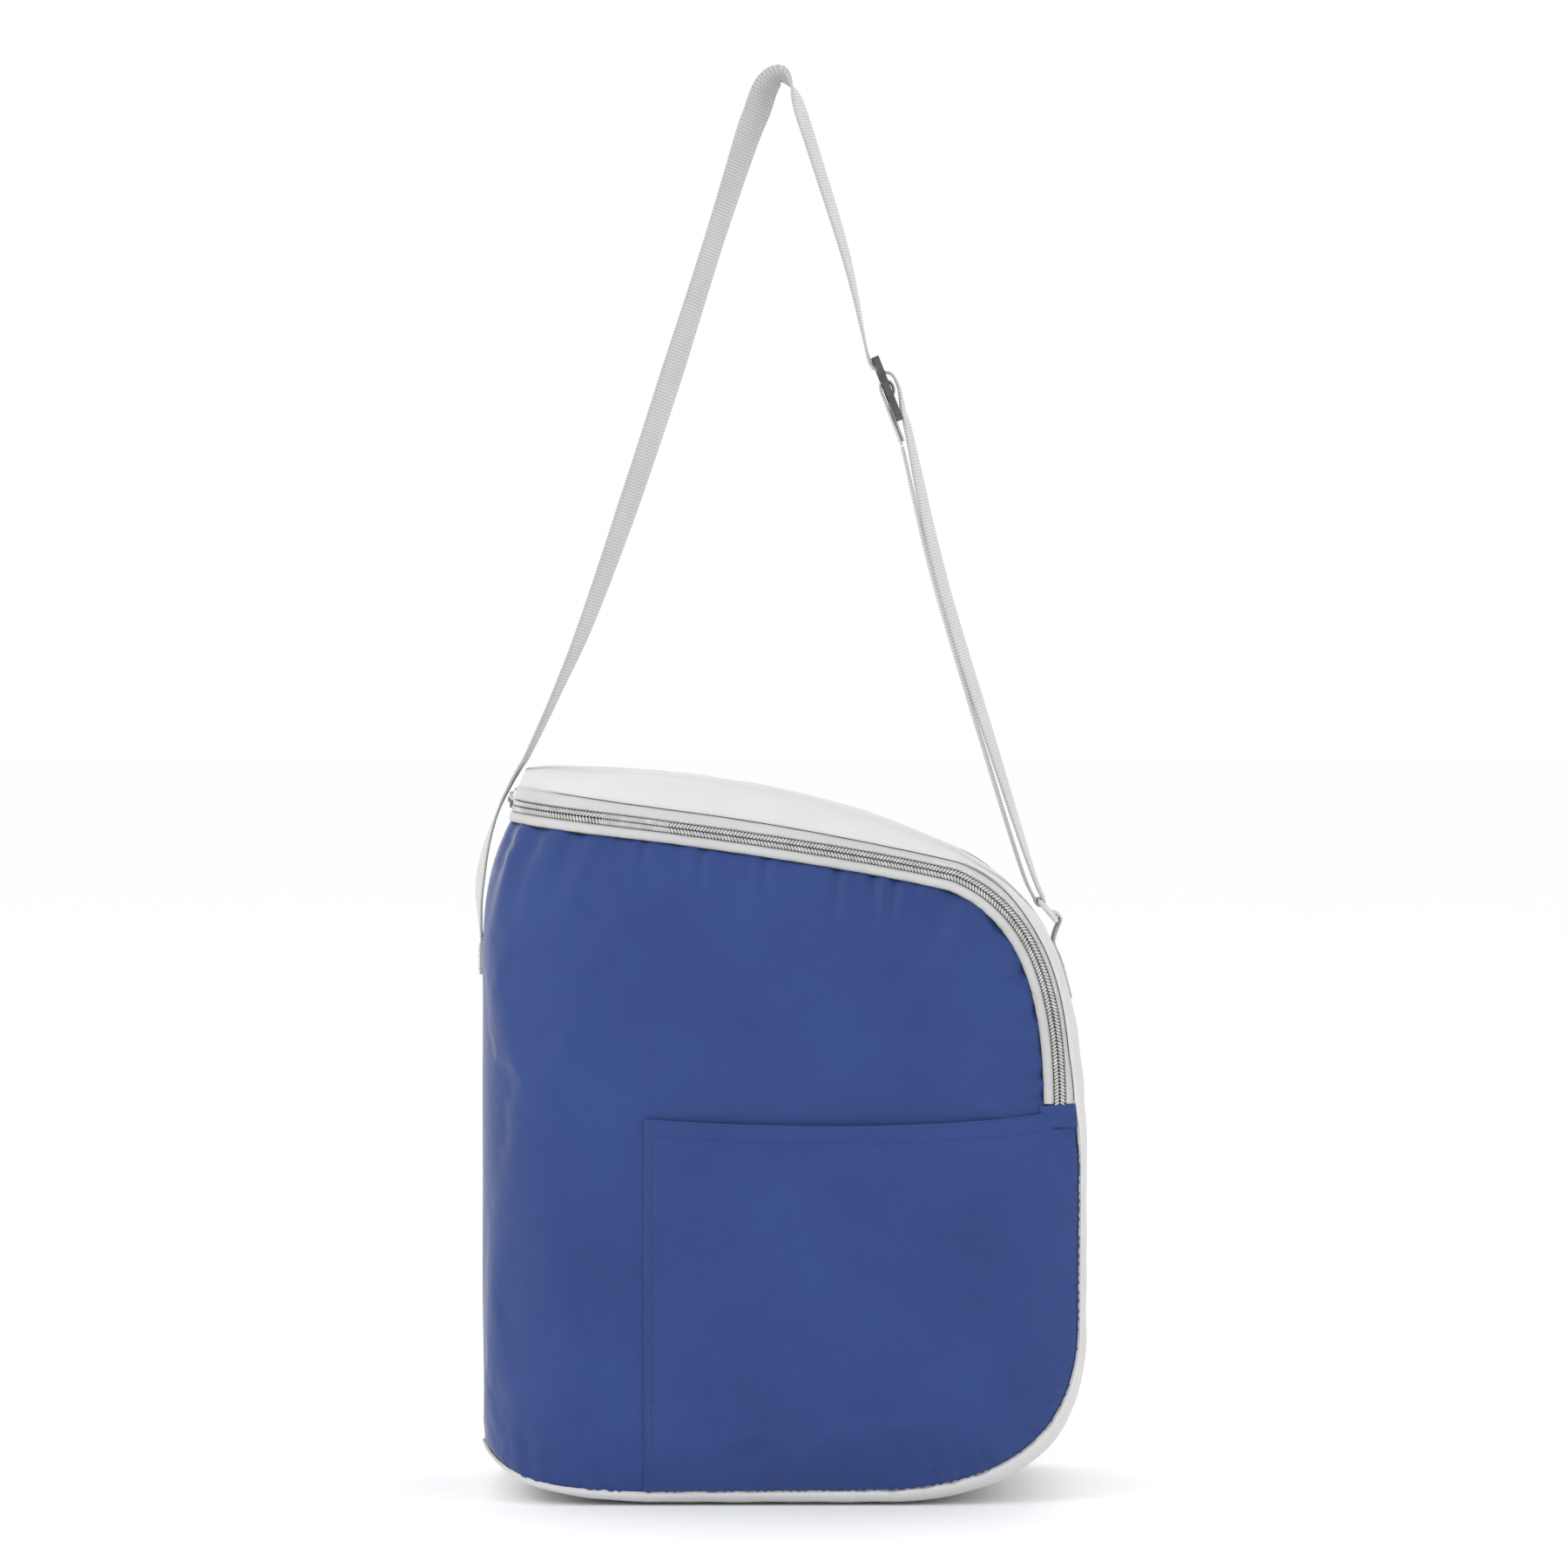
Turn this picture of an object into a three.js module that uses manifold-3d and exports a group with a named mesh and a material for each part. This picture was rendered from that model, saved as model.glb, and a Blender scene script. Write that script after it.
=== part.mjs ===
// Insulated cooler bag with a zipped lid, a side pocket and an adjustable shoulder strap.
// Millimetres. +X is the bag's front, +Z is up, and the pocket is on the -Y side.
// The origin is on the floor under the middle of the bag.
// The bag is a side profile carried across its thickness, with a rounded rear in plan. Every
// wall is a layer of that one body, cut where the seams and the zip run.
import * as THREE from "three";
import { mergeVertices } from "three/addons/utils/BufferGeometryUtils.js";
import Module from "manifold-3d";

const wasm = await Module();
wasm.setup();

// Driving dimensions
const HALF_LENGTH = 131.5;
const HALF_THICKNESS = 75;
const MID_HEIGHT = 158;
const REAR_RADIUS = 40;
const FRONT_RADIUS = 9;
const GAP = 0.3;
const FABRIC = 1;
const FOAM = [1.3, 5.3];
const LINER = [5.6, 6.4];
const FOLD_FROM = 50; // along the hinge: behind this the lid lifts, ahead of it the gusset stays
const ZIP_END_Z = 178;
const COIL = [0.25, 2.4]; // a coil row's edges, from the middle of the zip
const LOWER_EDGE = [3, 6.4]; // the grey binding under the zip, from the middle of the zip
const UPPER_EDGE = [2.9, 4.7]; // the grey band over the zip
const WRAP_FROM = 6.7; // the seam where the blue wrap starts, under the zip
const PANEL_FROM = 5; // the seam where the lid panel starts, over the zip
const ZIP_REAR_END_Y = 46;
const WEB_WIDTH = 25;
const WEB = 1; // webbing thickness
const POCKET_DEPTH = 6.2;
const WIDE = 400; // longer than the bag, for cutters

const COLOURS = {
  blue: 0x33508f,
  grey: 0xc4c4c3,
  lightGrey: 0xd6d6d5,
  zip: 0x9a9a98,
  webbing: 0xc9c9c7,
  charcoal: 0x4c4d4f,
  foam: 0xf0f0ec,
  liner: 0xd9dcde,
  board: 0x8d8578,
};

// ---------------------------------------------------------------- outlines in the X-Z plane

const v2 = (x, z) => new THREE.Vector2(x, z);

// The side outline of the whole bag, once round, standing on its flat stretch at z = 0.
function sideOutline() {
  const s = new THREE.Shape();
  s.moveTo(-60, 0);
  s.lineTo(50, 0);
  s.bezierCurveTo(120, 4, 131, 40, HALF_LENGTH, 75);
  s.lineTo(HALF_LENGTH, 150);
  s.bezierCurveTo(HALF_LENGTH, 195, 125, 243, 105.5, 261);
  s.bezierCurveTo(62, 298, -20, 317, -110, 316.5);
  s.quadraticCurveTo(-114.5, 316.5, -115, 312);
  s.lineTo(-119, 297);
  s.quadraticCurveTo(-131, 268, -HALF_LENGTH, 231);
  s.lineTo(-HALF_LENGTH, 30);
  s.bezierCurveTo(-HALF_LENGTH, 6, -95, 2, -60, 0);
  return s.getPoints(9);
}

// The zip's middle line, from its lower front end over the top to past the rear.
function zipLine() {
  const front = new THREE.CubicBezierCurve(v2(119, 174), v2(118.7, 215), v2(112, 258), v2(72.5, 274.2));
  const top = new THREE.CubicBezierCurve(v2(72.5, 274.2), v2(35, 284), v2(-50, 295), v2(-117.3, 302.3));
  return [v2(119, 150), ...front.getPoints(12), ...top.getPoints(8).slice(1), v2(-150, 305)];
}

// A line moved sideways, away from the bag's middle when the distance is positive.
function beside(line, distance) {
  return line.map((p, i) => {
    const along = line[Math.min(i + 1, line.length - 1)].clone().sub(line[Math.max(i - 1, 0)]).normalize();
    return v2(p.x + along.y * distance, p.y - along.x * distance);
  });
}

const strip = (from, to) => [...beside(zipLine(), from), ...beside(zipLine(), to).reverse()];
const aboveZip = (from) => [...beside(zipLine(), from), v2(-150, 420), v2(200, 420), v2(200, 150)];
const belowZip = (to) => [...beside(zipLine(), to), v2(-150, -20), v2(119 + to, -20)];

// The blue wrap's outline: its seam along the bottom and front, and open past the rear.
function wrapOutline(shrink) {
  const s = new THREE.Shape();
  s.moveTo(-160, 26 + shrink);
  s.lineTo(-HALF_LENGTH, 24 + shrink);
  s.bezierCurveTo(-122, 9 + shrink, -95, 6.5 + shrink, -60, 5.5 + shrink);
  s.lineTo(44, 6.5 + shrink);
  s.bezierCurveTo(108 - shrink, 9 + shrink, 126 - shrink, 40, 127.6 - shrink, 75);
  s.lineTo(128 - shrink, 150);
  s.lineTo(125.8 - shrink, 176);
  s.lineTo(125.8 - shrink, 420);
  s.lineTo(-160, 420);
  return s.getPoints(8);
}

// ---------------------------------------------------------------- solids

// A closed geometry as a manifold-3d solid.
function solid(geometry) {
  const plain = geometry.index ? geometry.toNonIndexed() : geometry.clone();
  plain.deleteAttribute("normal");
  plain.deleteAttribute("uv");
  const merged = mergeVertices(plain, 1e-4);
  return new wasm.Manifold(
    new wasm.Mesh({
      numProp: 3,
      vertProperties: merged.attributes.position.array,
      triVerts: new Uint32Array(merged.index.array),
    }),
  );
}

// An outline in X-Z as a prism between two places across the bag.
function prism(points, y0 = -WIDE / 2, y1 = WIDE / 2) {
  const shape = new THREE.Shape(points);
  const g = new THREE.ExtrudeGeometry(shape, { depth: y1 - y0, bevelEnabled: false });
  g.rotateX(Math.PI / 2);
  g.translate(0, y1, 0);
  return solid(g);
}

const block = (x0, x1, y0, y1, z0, z1) =>
  solid(
    new THREE.BoxGeometry(x1 - x0, y1 - y0, z1 - z0).translate((x0 + x1) / 2, (y0 + y1) / 2, (z0 + z1) / 2),
  );

// The rear wall leans forward above this height, down to the zip and on up the lid.
function rearX(z) {
  const lean = Math.max(0, (z - 231) / 66);
  return -HALF_LENGTH + 12.5 * lean * lean;
}

// The plan outline at one height, set in from the outside of the bag.
function planRing(z, inset) {
  const rear = rearX(z) + inset;
  const front = HALF_LENGTH - inset;
  const side = HALF_THICKNESS - inset;
  const corner = (cx, cy, r, start, steps) =>
    Array.from({ length: steps + 1 }, (_, i) => {
      const a = start + (i / steps) * (Math.PI / 2);
      return [cx + r * Math.cos(a), cy + r * Math.sin(a), z];
    });
  const rr = REAR_RADIUS - inset;
  const fr = Math.max(FRONT_RADIUS - inset, 1.5);
  return [
    ...corner(front - fr, side - fr, fr, 0, 3),
    ...corner(rear + rr, side - rr, rr, Math.PI / 2, 6),
    ...corner(rear + rr, -side + rr, rr, Math.PI, 6),
    ...corner(front - fr, -side + fr, fr, 1.5 * Math.PI, 3),
  ];
}

// Rings of points joined into one closed skin, with flat ends.
function loft(rings) {
  const n = rings[0].length;
  const index = [];
  for (let k = 0; k + 1 < rings.length; k++)
    for (let i = 0; i < n; i++) {
      const a = k * n + i;
      const b = k * n + ((i + 1) % n);
      index.push(a, b, b + n, a, b + n, a + n);
    }
  const top = (rings.length - 1) * n;
  for (let i = 1; i + 1 < n; i++) index.push(0, i + 1, i, top, top + i, top + i + 1);
  const g = new THREE.BufferGeometry();
  g.setAttribute("position", new THREE.Float32BufferAttribute(rings.flat(2), 3));
  g.setIndex(index);
  return solid(g);
}

// The whole bag as a solid, set in by a distance from its outside.
const bodies = new Map();
function bag(inset) {
  if (!bodies.has(inset)) {
    const kx = 1 - inset / HALF_LENGTH;
    const kz = 1 - inset / MID_HEIGHT;
    const outline = sideOutline().map((p) => v2(p.x * kx, MID_HEIGHT + (p.y - MID_HEIGHT) * kz));
    const heights = [-10, 231, 250, 265, 280, 297, 330];
    bodies.set(inset, prism(outline).intersect(loft(heights.map((z) => planRing(z, inset)))));
  }
  return bodies.get(inset);
}

const layer = (outer, inner) => bag(outer).subtract(bag(inner));

// ---------------------------------------------------------------- the hinge along the far top edge

const HINGE_FROM = v2(-117.3, 302.3);
const HINGE_TO = v2(72.5, 274.2);
const hingeAlong = HINGE_TO.clone().sub(HINGE_FROM).normalize();

// Everything ahead of, or behind, a plane square to the hinge.
function pastFold(side, gap = GAP / 2) {
  const at = HINGE_FROM.clone().addScaledVector(hingeAlong, FOLD_FROM - HINGE_FROM.x + side * gap);
  const up = v2(-hingeAlong.y, hingeAlong.x).multiplyScalar(WIDE);
  const along = hingeAlong.clone().multiplyScalar(side * WIDE);
  const points = [
    at.clone().sub(up),
    at.clone().sub(up).add(along),
    at.clone().add(up).add(along),
    at.clone().add(up),
  ];
  return prism(side > 0 ? points : points.reverse());
}
const ahead = () => pastFold(1);
const behind = () => pastFold(-1);
const nearHalf = () => block(-WIDE, WIDE, -WIDE, 0, -WIDE, WIDE);
const aboveZipEnd = () => block(-WIDE, WIDE, -WIDE, WIDE, ZIP_END_Z, WIDE);

// The zip runs on the pocket side and round the rear, and the far side is a plain hinge.
const zipSide = (solidPiece) =>
  solidPiece
    .subtract(block(-95, WIDE, 0, WIDE, 0, WIDE))
    .subtract(block(-WIDE, WIDE, ZIP_REAR_END_Y, WIDE, 0, WIDE));
const hingeSide = (solidPiece) => solidPiece.intersect(block(-90, WIDE, 0, WIDE, 0, WIDE));

// ---------------------------------------------------------------- the bag's pieces

const shell = () => layer(0, FABRIC);

const outerWrap = () =>
  shell()
    .intersect(prism(wrapOutline(0)))
    .intersect(prism(belowZip(-WRAP_FROM)));

// The grey strip under the bag and up its front, with the stretch of the top that doesn't lift.
function baseFrontGusset() {
  const lower = shell()
    .subtract(prism(wrapOutline(-GAP)))
    .intersect(block(-WIDE, WIDE, -WIDE, WIDE, -WIDE, ZIP_END_Z - 2));
  const upper = shell()
    .intersect(prism(aboveZip(PANEL_FROM)))
    .intersect(ahead())
    .intersect(block(-WIDE, WIDE, -WIDE, WIDE, ZIP_END_Z - 4, WIDE));
  return lower.add(upper);
}

const lowerBinding = () =>
  shell()
    .intersect(prism(strip(-LOWER_EDGE[1], -LOWER_EDGE[0])))
    .intersect(aboveZipEnd());

const upperBand = (half) =>
  shell()
    .intersect(prism(strip(UPPER_EDGE[0], UPPER_EDGE[1])))
    .intersect(aboveZipEnd())
    .intersect(half());

const lidPanel = () =>
  shell()
    .intersect(prism(aboveZip(PANEL_FROM)))
    .intersect(behind());

const COIL_LAYER = [-0.8, 0.6]; // the coil stands out of the fabric
const coilRow = (side) =>
  zipSide(
    layer(COIL_LAYER[0], COIL_LAYER[1])
      .intersect(prism(side > 0 ? strip(COIL[0], COIL[1]) : strip(-COIL[1], -COIL[0])))
      .intersect(aboveZipEnd()),
  );

const TAPE_EDGE = 2.6;
const TAPE_LAYER = [0.9, 1.7];
const zipTape = (side) =>
  zipSide(
    layer(TAPE_LAYER[0], TAPE_LAYER[1])
      .intersect(prism(side > 0 ? strip(COIL[0], TAPE_EDGE) : strip(-TAPE_EDGE, -COIL[0])))
      .intersect(aboveZipEnd()),
  );

const hingeTape = () =>
  hingeSide(shell().intersect(prism(strip(-TAPE_EDGE, TAPE_EDGE))).intersect(aboveZipEnd()));

const FOAM_EDGE = 3; // foam and liner stop short of the zip tape
const foamLayer = () => layer(FOAM[0], FOAM[1]);
const wrapFoam = () =>
  foamLayer()
    .intersect(prism(wrapOutline(FOAM[0])))
    .intersect(prism(belowZip(-FOAM_EDGE)));
const FRONT_FOAM_FROM = ZIP_END_Z - 4.6; // where the base's foam ends and the upper front's starts
const baseFoam = () =>
  foamLayer()
    .subtract(prism(wrapOutline(FOAM[0] - GAP)))
    .intersect(block(-WIDE, WIDE, -WIDE, WIDE, -WIDE, FRONT_FOAM_FROM - 0.4));
const lidFoam = (half) =>
  foamLayer()
    .intersect(prism(aboveZip(FOAM_EDGE)))
    .intersect(half())
    .intersect(block(-WIDE, WIDE, -WIDE, WIDE, FRONT_FOAM_FROM, WIDE));
const linerLayer = () => layer(LINER[0], LINER[1]);
const bodyLiner = () => linerLayer().intersect(prism(belowZip(-FOAM_EDGE)));
const lidLiner = () =>
  linerLayer()
    .intersect(prism(aboveZip(FOAM_EDGE)))
    .intersect(behind());

// The stiff board that lies loose on the lining.
const BOARD_HALF = 95;
const BOARD_LAYER = [LINER[1] + 0.4, LINER[1] + 3];
const baseBoard = () =>
  bag(LINER[1] + 1.5).intersect(
    block(-BOARD_HALF, BOARD_HALF, -WIDE, WIDE, BOARD_LAYER[0], BOARD_LAYER[1]),
  );

// ---------------------------------------------------------------- the pocket

const POCKET_LEFT = -60;
const pocketTop = new THREE.QuadraticBezierCurve(v2(POCKET_LEFT, 167.7), v2(45, 160), v2(124.5, 172.3));

function pocketOutline(inset, openTop) {
  const s = new THREE.Shape();
  const rise = openTop ? 40 : 0;
  s.moveTo(POCKET_LEFT + inset, 7.5 + inset);
  s.lineTo(44, 7.5 + inset);
  s.bezierCurveTo(104 - inset, 10 + inset, 123 - inset, 40, 124.5 - inset, 75);
  s.lineTo(124.5 - inset, 172.3 + rise);
  s.quadraticCurveTo(45, 160 + rise, POCKET_LEFT + inset, 167.7 + rise);
  return s.getPoints(6);
}

const WALL_Y = -HALF_THICKNESS - GAP; // the pocket stands off the bag's near face
function pocketPanel() {
  const outer = prism(pocketOutline(0, false), WALL_Y - POCKET_DEPTH, WALL_Y);
  const inside = prism(pocketOutline(FABRIC, true), WALL_Y - POCKET_DEPTH + FABRIC, WALL_Y + 1);
  return outer.subtract(inside);
}

const HEM_Y = WALL_Y - POCKET_DEPTH - GAP;
const HEM = 0.8; // a hem's thickness
const TOP_HEM = 8; // and the widths of the two hems
const SIDE_HEM = 4;
function pocketTopHem() {
  const upper = pocketTop.getPoints(8);
  const lower = upper.map((p) => v2(p.x, p.y - TOP_HEM)).reverse();
  return prism([...upper, ...lower].reverse(), HEM_Y - HEM, HEM_Y);
}
const pocketSideHem = () =>
  block(POCKET_LEFT, POCKET_LEFT + SIDE_HEM, HEM_Y - HEM, HEM_Y, 9, 159);

const END_TAB = 1.2; // how far the tabs over the zip's ends stand out
const zipEndTabNear = () =>
  block(109, 124, -HALF_THICKNESS - END_TAB, -HALF_THICKNESS - GAP, 174, ZIP_END_Z - 0.4);
const zipEndTabRear = () =>
  layer(0.1 - END_TAB, -GAP).intersect(
    block(-WIDE, -95, ZIP_REAR_END_Y + 0.4, ZIP_REAR_END_Y + 9, 296, 309),
  );

// ---------------------------------------------------------------- the zip's slider and pull

const SLIDER_Y = 30;
const SLIDER_Z = 302.3;
const SLIDER_X = rearX(SLIDER_Z - COIL[1]) - 0.8 - GAP; // just outside the coil

const PLATE = 1.2;
const CROWN = 2.9;
const PIVOT_X = SLIDER_X - 2.1; // the pull turns about an upright line here

function sliderBody() {
  const x = SLIDER_X;
  const plate = block(x - PLATE, x, SLIDER_Y - 5, SLIDER_Y + 5, SLIDER_Z - 4, SLIDER_Z + 4);
  const crown = block(x - CROWN - 1, x - 1, SLIDER_Y - 3.2, SLIDER_Y + 3.2, SLIDER_Z - 1.2, SLIDER_Z + 1.2);
  const eye = block(x - CROWN - 0.1, x - PLATE, SLIDER_Y - 1.8, SLIDER_Y + 1.8, SLIDER_Z - 3, SLIDER_Z + 3);
  return plate.add(crown).subtract(eye);
}

// The pull's cross bar goes through the slider's eye, and its tongue lies along the zip.
const PULL_LENGTH = 16;
const PULL_HALF = 3.4;
const PULL_SLOT = 1.7; // half the gap between the arms
const PULL_THICK = 0.5; // half the pull's thickness
function sliderPull() {
  const slab = (y0, y1, z0, z1) =>
    block(PIVOT_X - PULL_THICK, PIVOT_X + PULL_THICK, y0, y1, SLIDER_Z + z0, SLIDER_Z + z1);
  const bar = slab(SLIDER_Y - PULL_THICK, SLIDER_Y + PULL_THICK, -PULL_HALF, PULL_HALF);
  const upperArm = slab(SLIDER_Y - 6, SLIDER_Y + PULL_THICK, PULL_SLOT, PULL_HALF);
  const lowerArm = slab(SLIDER_Y - 6, SLIDER_Y + PULL_THICK, -PULL_HALF, -PULL_SLOT);
  const tongue = slab(SLIDER_Y - PULL_LENGTH, SLIDER_Y - 5, -PULL_HALF, PULL_HALF);
  return bar.add(upperArm).add(lowerArm).add(tongue);
}

// ---------------------------------------------------------------- the shoulder strap

// A flat ribbon of webbing that follows a line in X-Z, with its width across the bag.
function ribbon(points, thickness = WEB, width = WEB_WIDTH, steps = 6) {
  const curve = new THREE.SplineCurve(points);
  const line = curve.getSpacedPoints(steps);
  const outline = [...beside(line, thickness / 2), ...beside(line, -thickness / 2).reverse()];
  const area = THREE.ShapeUtils.area(outline);
  return prism(area > 0 ? outline : outline.reverse(), -width / 2, width / 2);
}

const ADJUSTER_AT = v2(45.4, 484.2);
const ADJUSTER_TILT = 0.375; // radians that the strand leans from upright
const down = v2(Math.sin(ADJUSTER_TILT), -Math.cos(ADJUSTER_TILT));
const out = v2(Math.cos(ADJUSTER_TILT), Math.sin(ADJUSTER_TILT));
const atAdjuster = (u, v) => ADJUSTER_AT.clone().addScaledVector(down, u).addScaledVector(out, v);
const quad = (u0, u1, w0, w1) =>
  [atAdjuster(u0, w0), atAdjuster(u1, w0), atAdjuster(u1, w1), atAdjuster(u0, w1)];

const strapBackPatch = () =>
  block(-HALF_LENGTH - GAP - 2.2, -HALF_LENGTH - GAP, -WEB_WIDTH / 2, WEB_WIDTH / 2, 227, 240);

// From the patch up the rear wall, past the lid's rear edge and up to the apex.
function strapLeftLeg() {
  const route = [
    v2(-132.9, 240.4),
    v2(-132, 256),
    v2(-129.4, 274),
    v2(-126.8, 290),
    v2(-122.6, 304),
    v2(-115.2, 322),
    v2(-99.6, 352),
    v2(-84.2, 389),
    v2(-58, 464.6),
    v2(-19.6, 584.6),
    v2(-12, 606),
  ];
  return ribbon(route, WEB, WEB_WIDTH, 30);
}

function strapApex() {
  const route = [v2(-11.9, 606.4), v2(-6.6, 619), v2(-1, 624.6), v2(3.6, 618), v2(7.4, 606.4)];
  return ribbon(route, WEB, WEB_WIDTH, 12);
}

function strapRightLeg() {
  const route = [v2(7.5, 606), v2(13.5, 587), v2(27.7, 540.8), atAdjuster(-17, -2.6)];
  return ribbon(route, WEB, WEB_WIDTH, 10);
}

// Upper bar of the front ring, and how far its lower bar is along the bag.
const RING_UPPER = v2(112.8, 258.4);
const RING_LOWER = v2(119.6, 250.6);
const RING_WIRE = 1.2;
const TURN = RING_WIRE + GAP + WEB / 2;

// The running webbing: under the adjuster's top bar, over its middle bar, and down to the ring.
function strapOuterStrand() {
  const overBars = [
    atAdjuster(-16.6, -2.6),
    atAdjuster(-12.8, -2.8),
    atAdjuster(-10.2, -1.8),
    atAdjuster(-7.6, 1.3),
    atAdjuster(-5.2, 4.3),
    atAdjuster(0, 5.1),
    atAdjuster(5, 4.5),
    atAdjuster(12, 2.9),
    atAdjuster(17, 2.6),
  ];
  const end = RING_UPPER.clone().add(v2(TURN, 0.5));
  const downStrand = [v2(69.5, 399.6), v2(94.8, 317.7), v2(109.5, 272), end];
  return ribbon([...overBars, ...downStrand], WEB, WEB_WIDTH, 60);
}

function strapInnerStrand() {
  const end = RING_UPPER.clone().add(v2(-TURN, 0.5));
  const route = [atAdjuster(26, -3.1), v2(66, 399.6), v2(90.6, 317.7), v2(105, 272), end];
  return ribbon(route, WEB, WEB_WIDTH, 16);
}

// The half turn of webbing under the ring's upper bar.
function strapRingTurn() {
  const turn = Array.from({ length: 9 }, (_, i) => {
    const a = (i / 8) * Math.PI;
    return RING_UPPER.clone().add(v2(-TURN * Math.cos(a), 0.2 - TURN * Math.sin(a)));
  });
  return ribbon(turn, WEB, WEB_WIDTH, 10);
}

// The webbing's sewn end: a loop on the adjuster's middle bar, with its tail inside the strand.
function strapEndLoop() {
  const outer = prism(quad(-3.9, 3.9, -3.2, 3.2).reverse(), -WEB_WIDTH / 2, WEB_WIDTH / 2);
  const tail = prism(quad(1.5, 25.5, -4.2, -2.1).reverse(), -WEB_WIDTH / 2, WEB_WIDTH / 2);
  const hole = prism(quad(-2.8, 2.8, -1.9, 1.9).reverse(), -WIDE / 2, WIDE / 2);
  return outer.add(tail).subtract(hole);
}

function strapAdjuster() {
  const plate = prism(quad(-15, 15, -1.6, 1.6).reverse(), -16.5, 16.5);
  const window = (u0, u1) => prism(quad(u0, u1, -5, 5).reverse(), -13.2, 13.2);
  return plate.subtract(window(-12, -2.5)).subtract(window(2.5, 12));
}

// How far forward the side outline is at a height on the bag's upper front.
function frontX(z) {
  const points = sideOutline().filter((p) => p.x > 90 && p.y > 150);
  const next = points.findIndex((p) => p.y > z);
  const share = (z - points[next - 1].y) / (points[next].y - points[next - 1].y);
  return THREE.MathUtils.lerp(points[next - 1].x, points[next].x, share);
}

const WIRE_SIDES = 8;
function frontRing() {
  const across = WEB_WIDTH / 2 + 2.4;
  const wire = (from, to) => {
    const span = to.clone().sub(from);
    const g = new THREE.CylinderGeometry(RING_WIRE, RING_WIRE, span.length(), WIRE_SIDES);
    g.applyQuaternion(
      new THREE.Quaternion().setFromUnitVectors(new THREE.Vector3(0, 1, 0), span.clone().normalize()),
    );
    g.translate(...from.clone().add(to).multiplyScalar(0.5).toArray());
    return solid(g);
  };
  const knob = (at) => solid(new THREE.SphereGeometry(RING_WIRE * 1.02, 10, 8).translate(...at.toArray()));
  const corner = (p, side) => new THREE.Vector3(p.x, side * across, p.y);
  const corners = [
    corner(RING_UPPER, -1),
    corner(RING_UPPER, 1),
    corner(RING_LOWER, 1),
    corner(RING_LOWER, -1),
  ];
  return corners
    .map((c, i) => wire(c, corners[(i + 1) % 4]).add(knob(c)))
    .reduce((all, piece) => all.add(piece));
}

// The sewn tab: round the ring's lower bar and flat down the front of the gusset.
function frontTab() {
  const r = RING_WIRE + 0.5 + WEB / 2;
  const onFront = (z) => v2(frontX(z) + 1.1, z);
  const around = Array.from({ length: 8 }, (_, i) => {
    const a = 2.4 - (i / 7) * 3.4;
    return RING_LOWER.clone().add(v2(r * Math.cos(a), r * Math.sin(a)));
  });
  return ribbon(
    [...around, onFront(241), onFront(233), onFront(224), onFront(214)],
    WEB, WEB_WIDTH, 44,
  );
}

// ---------------------------------------------------------------- the assembly

const coolerBag = new THREE.Group();

function place(name, made, colour, roughness = 0.85, metalness = 0) {
  const mesh = made.getMesh();
  const count = mesh.numVert;
  const positions = new Float32Array(count * 3);
  for (let i = 0; i < count; i++)
    positions.set(mesh.vertProperties.subarray(i * mesh.numProp, i * mesh.numProp + 3), i * 3);
  const geometry = new THREE.BufferGeometry();
  geometry.setAttribute("position", new THREE.BufferAttribute(positions, 3));
  geometry.setIndex(new THREE.BufferAttribute(mesh.triVerts, 1));
  geometry.computeVertexNormals();
  const material = new THREE.MeshStandardMaterial({ color: colour, roughness, metalness });
  const piece = new THREE.Mesh(geometry, material);
  piece.name = name;
  coolerBag.add(piece);
}

place("outer_wrap", outerWrap(), COLOURS.blue, 0.6);
place("base_front_gusset", baseFrontGusset(), COLOURS.grey);
place("lower_zip_binding", lowerBinding(), COLOURS.lightGrey);
place("wrap_foam", wrapFoam(), COLOURS.foam);
place("base_foam", baseFoam(), COLOURS.foam);
place("front_top_foam", lidFoam(ahead), COLOURS.foam);
place("body_liner", bodyLiner(), COLOURS.liner, 0.4);
place("base_board", baseBoard(), COLOURS.board);
place("upper_band_front_near", upperBand(ahead).intersect(nearHalf()), COLOURS.lightGrey);
place("upper_band_front_far", upperBand(ahead).subtract(nearHalf()), COLOURS.lightGrey);
place("lower_zip_tape", zipTape(-1), COLOURS.zip);
place("lower_zip_teeth", coilRow(-1), COLOURS.zip, 0.5);
place("upper_zip_tape_front", zipTape(1).intersect(ahead()), COLOURS.zip);
place("upper_zip_teeth_front", coilRow(1).intersect(ahead()), COLOURS.zip, 0.5);
place("zip_end_tab_near", zipEndTabNear(), COLOURS.blue, 0.6);
place("zip_end_tab_rear", zipEndTabRear(), COLOURS.blue, 0.6);
place("hinge_tape", hingeTape(), COLOURS.lightGrey);
place("pocket_panel", pocketPanel(), COLOURS.blue, 0.6);
place("pocket_top_hem", pocketTopHem(), COLOURS.blue, 0.6);
place("pocket_side_hem", pocketSideHem(), COLOURS.blue, 0.6);

place("lid_panel", lidPanel(), COLOURS.grey);
place("lid_band", upperBand(behind), COLOURS.lightGrey);
place("lid_foam", lidFoam(behind), COLOURS.foam);
place("lid_liner", lidLiner(), COLOURS.liner, 0.4);
place("upper_zip_tape_lid", zipTape(1).intersect(behind()), COLOURS.zip);
place("upper_zip_teeth_lid", coilRow(1).intersect(behind()), COLOURS.zip, 0.5);

place("zip_slider", sliderBody(), COLOURS.zip, 0.35, 0.8);
place("zip_pull", sliderPull(), COLOURS.zip, 0.35, 0.8);

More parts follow.
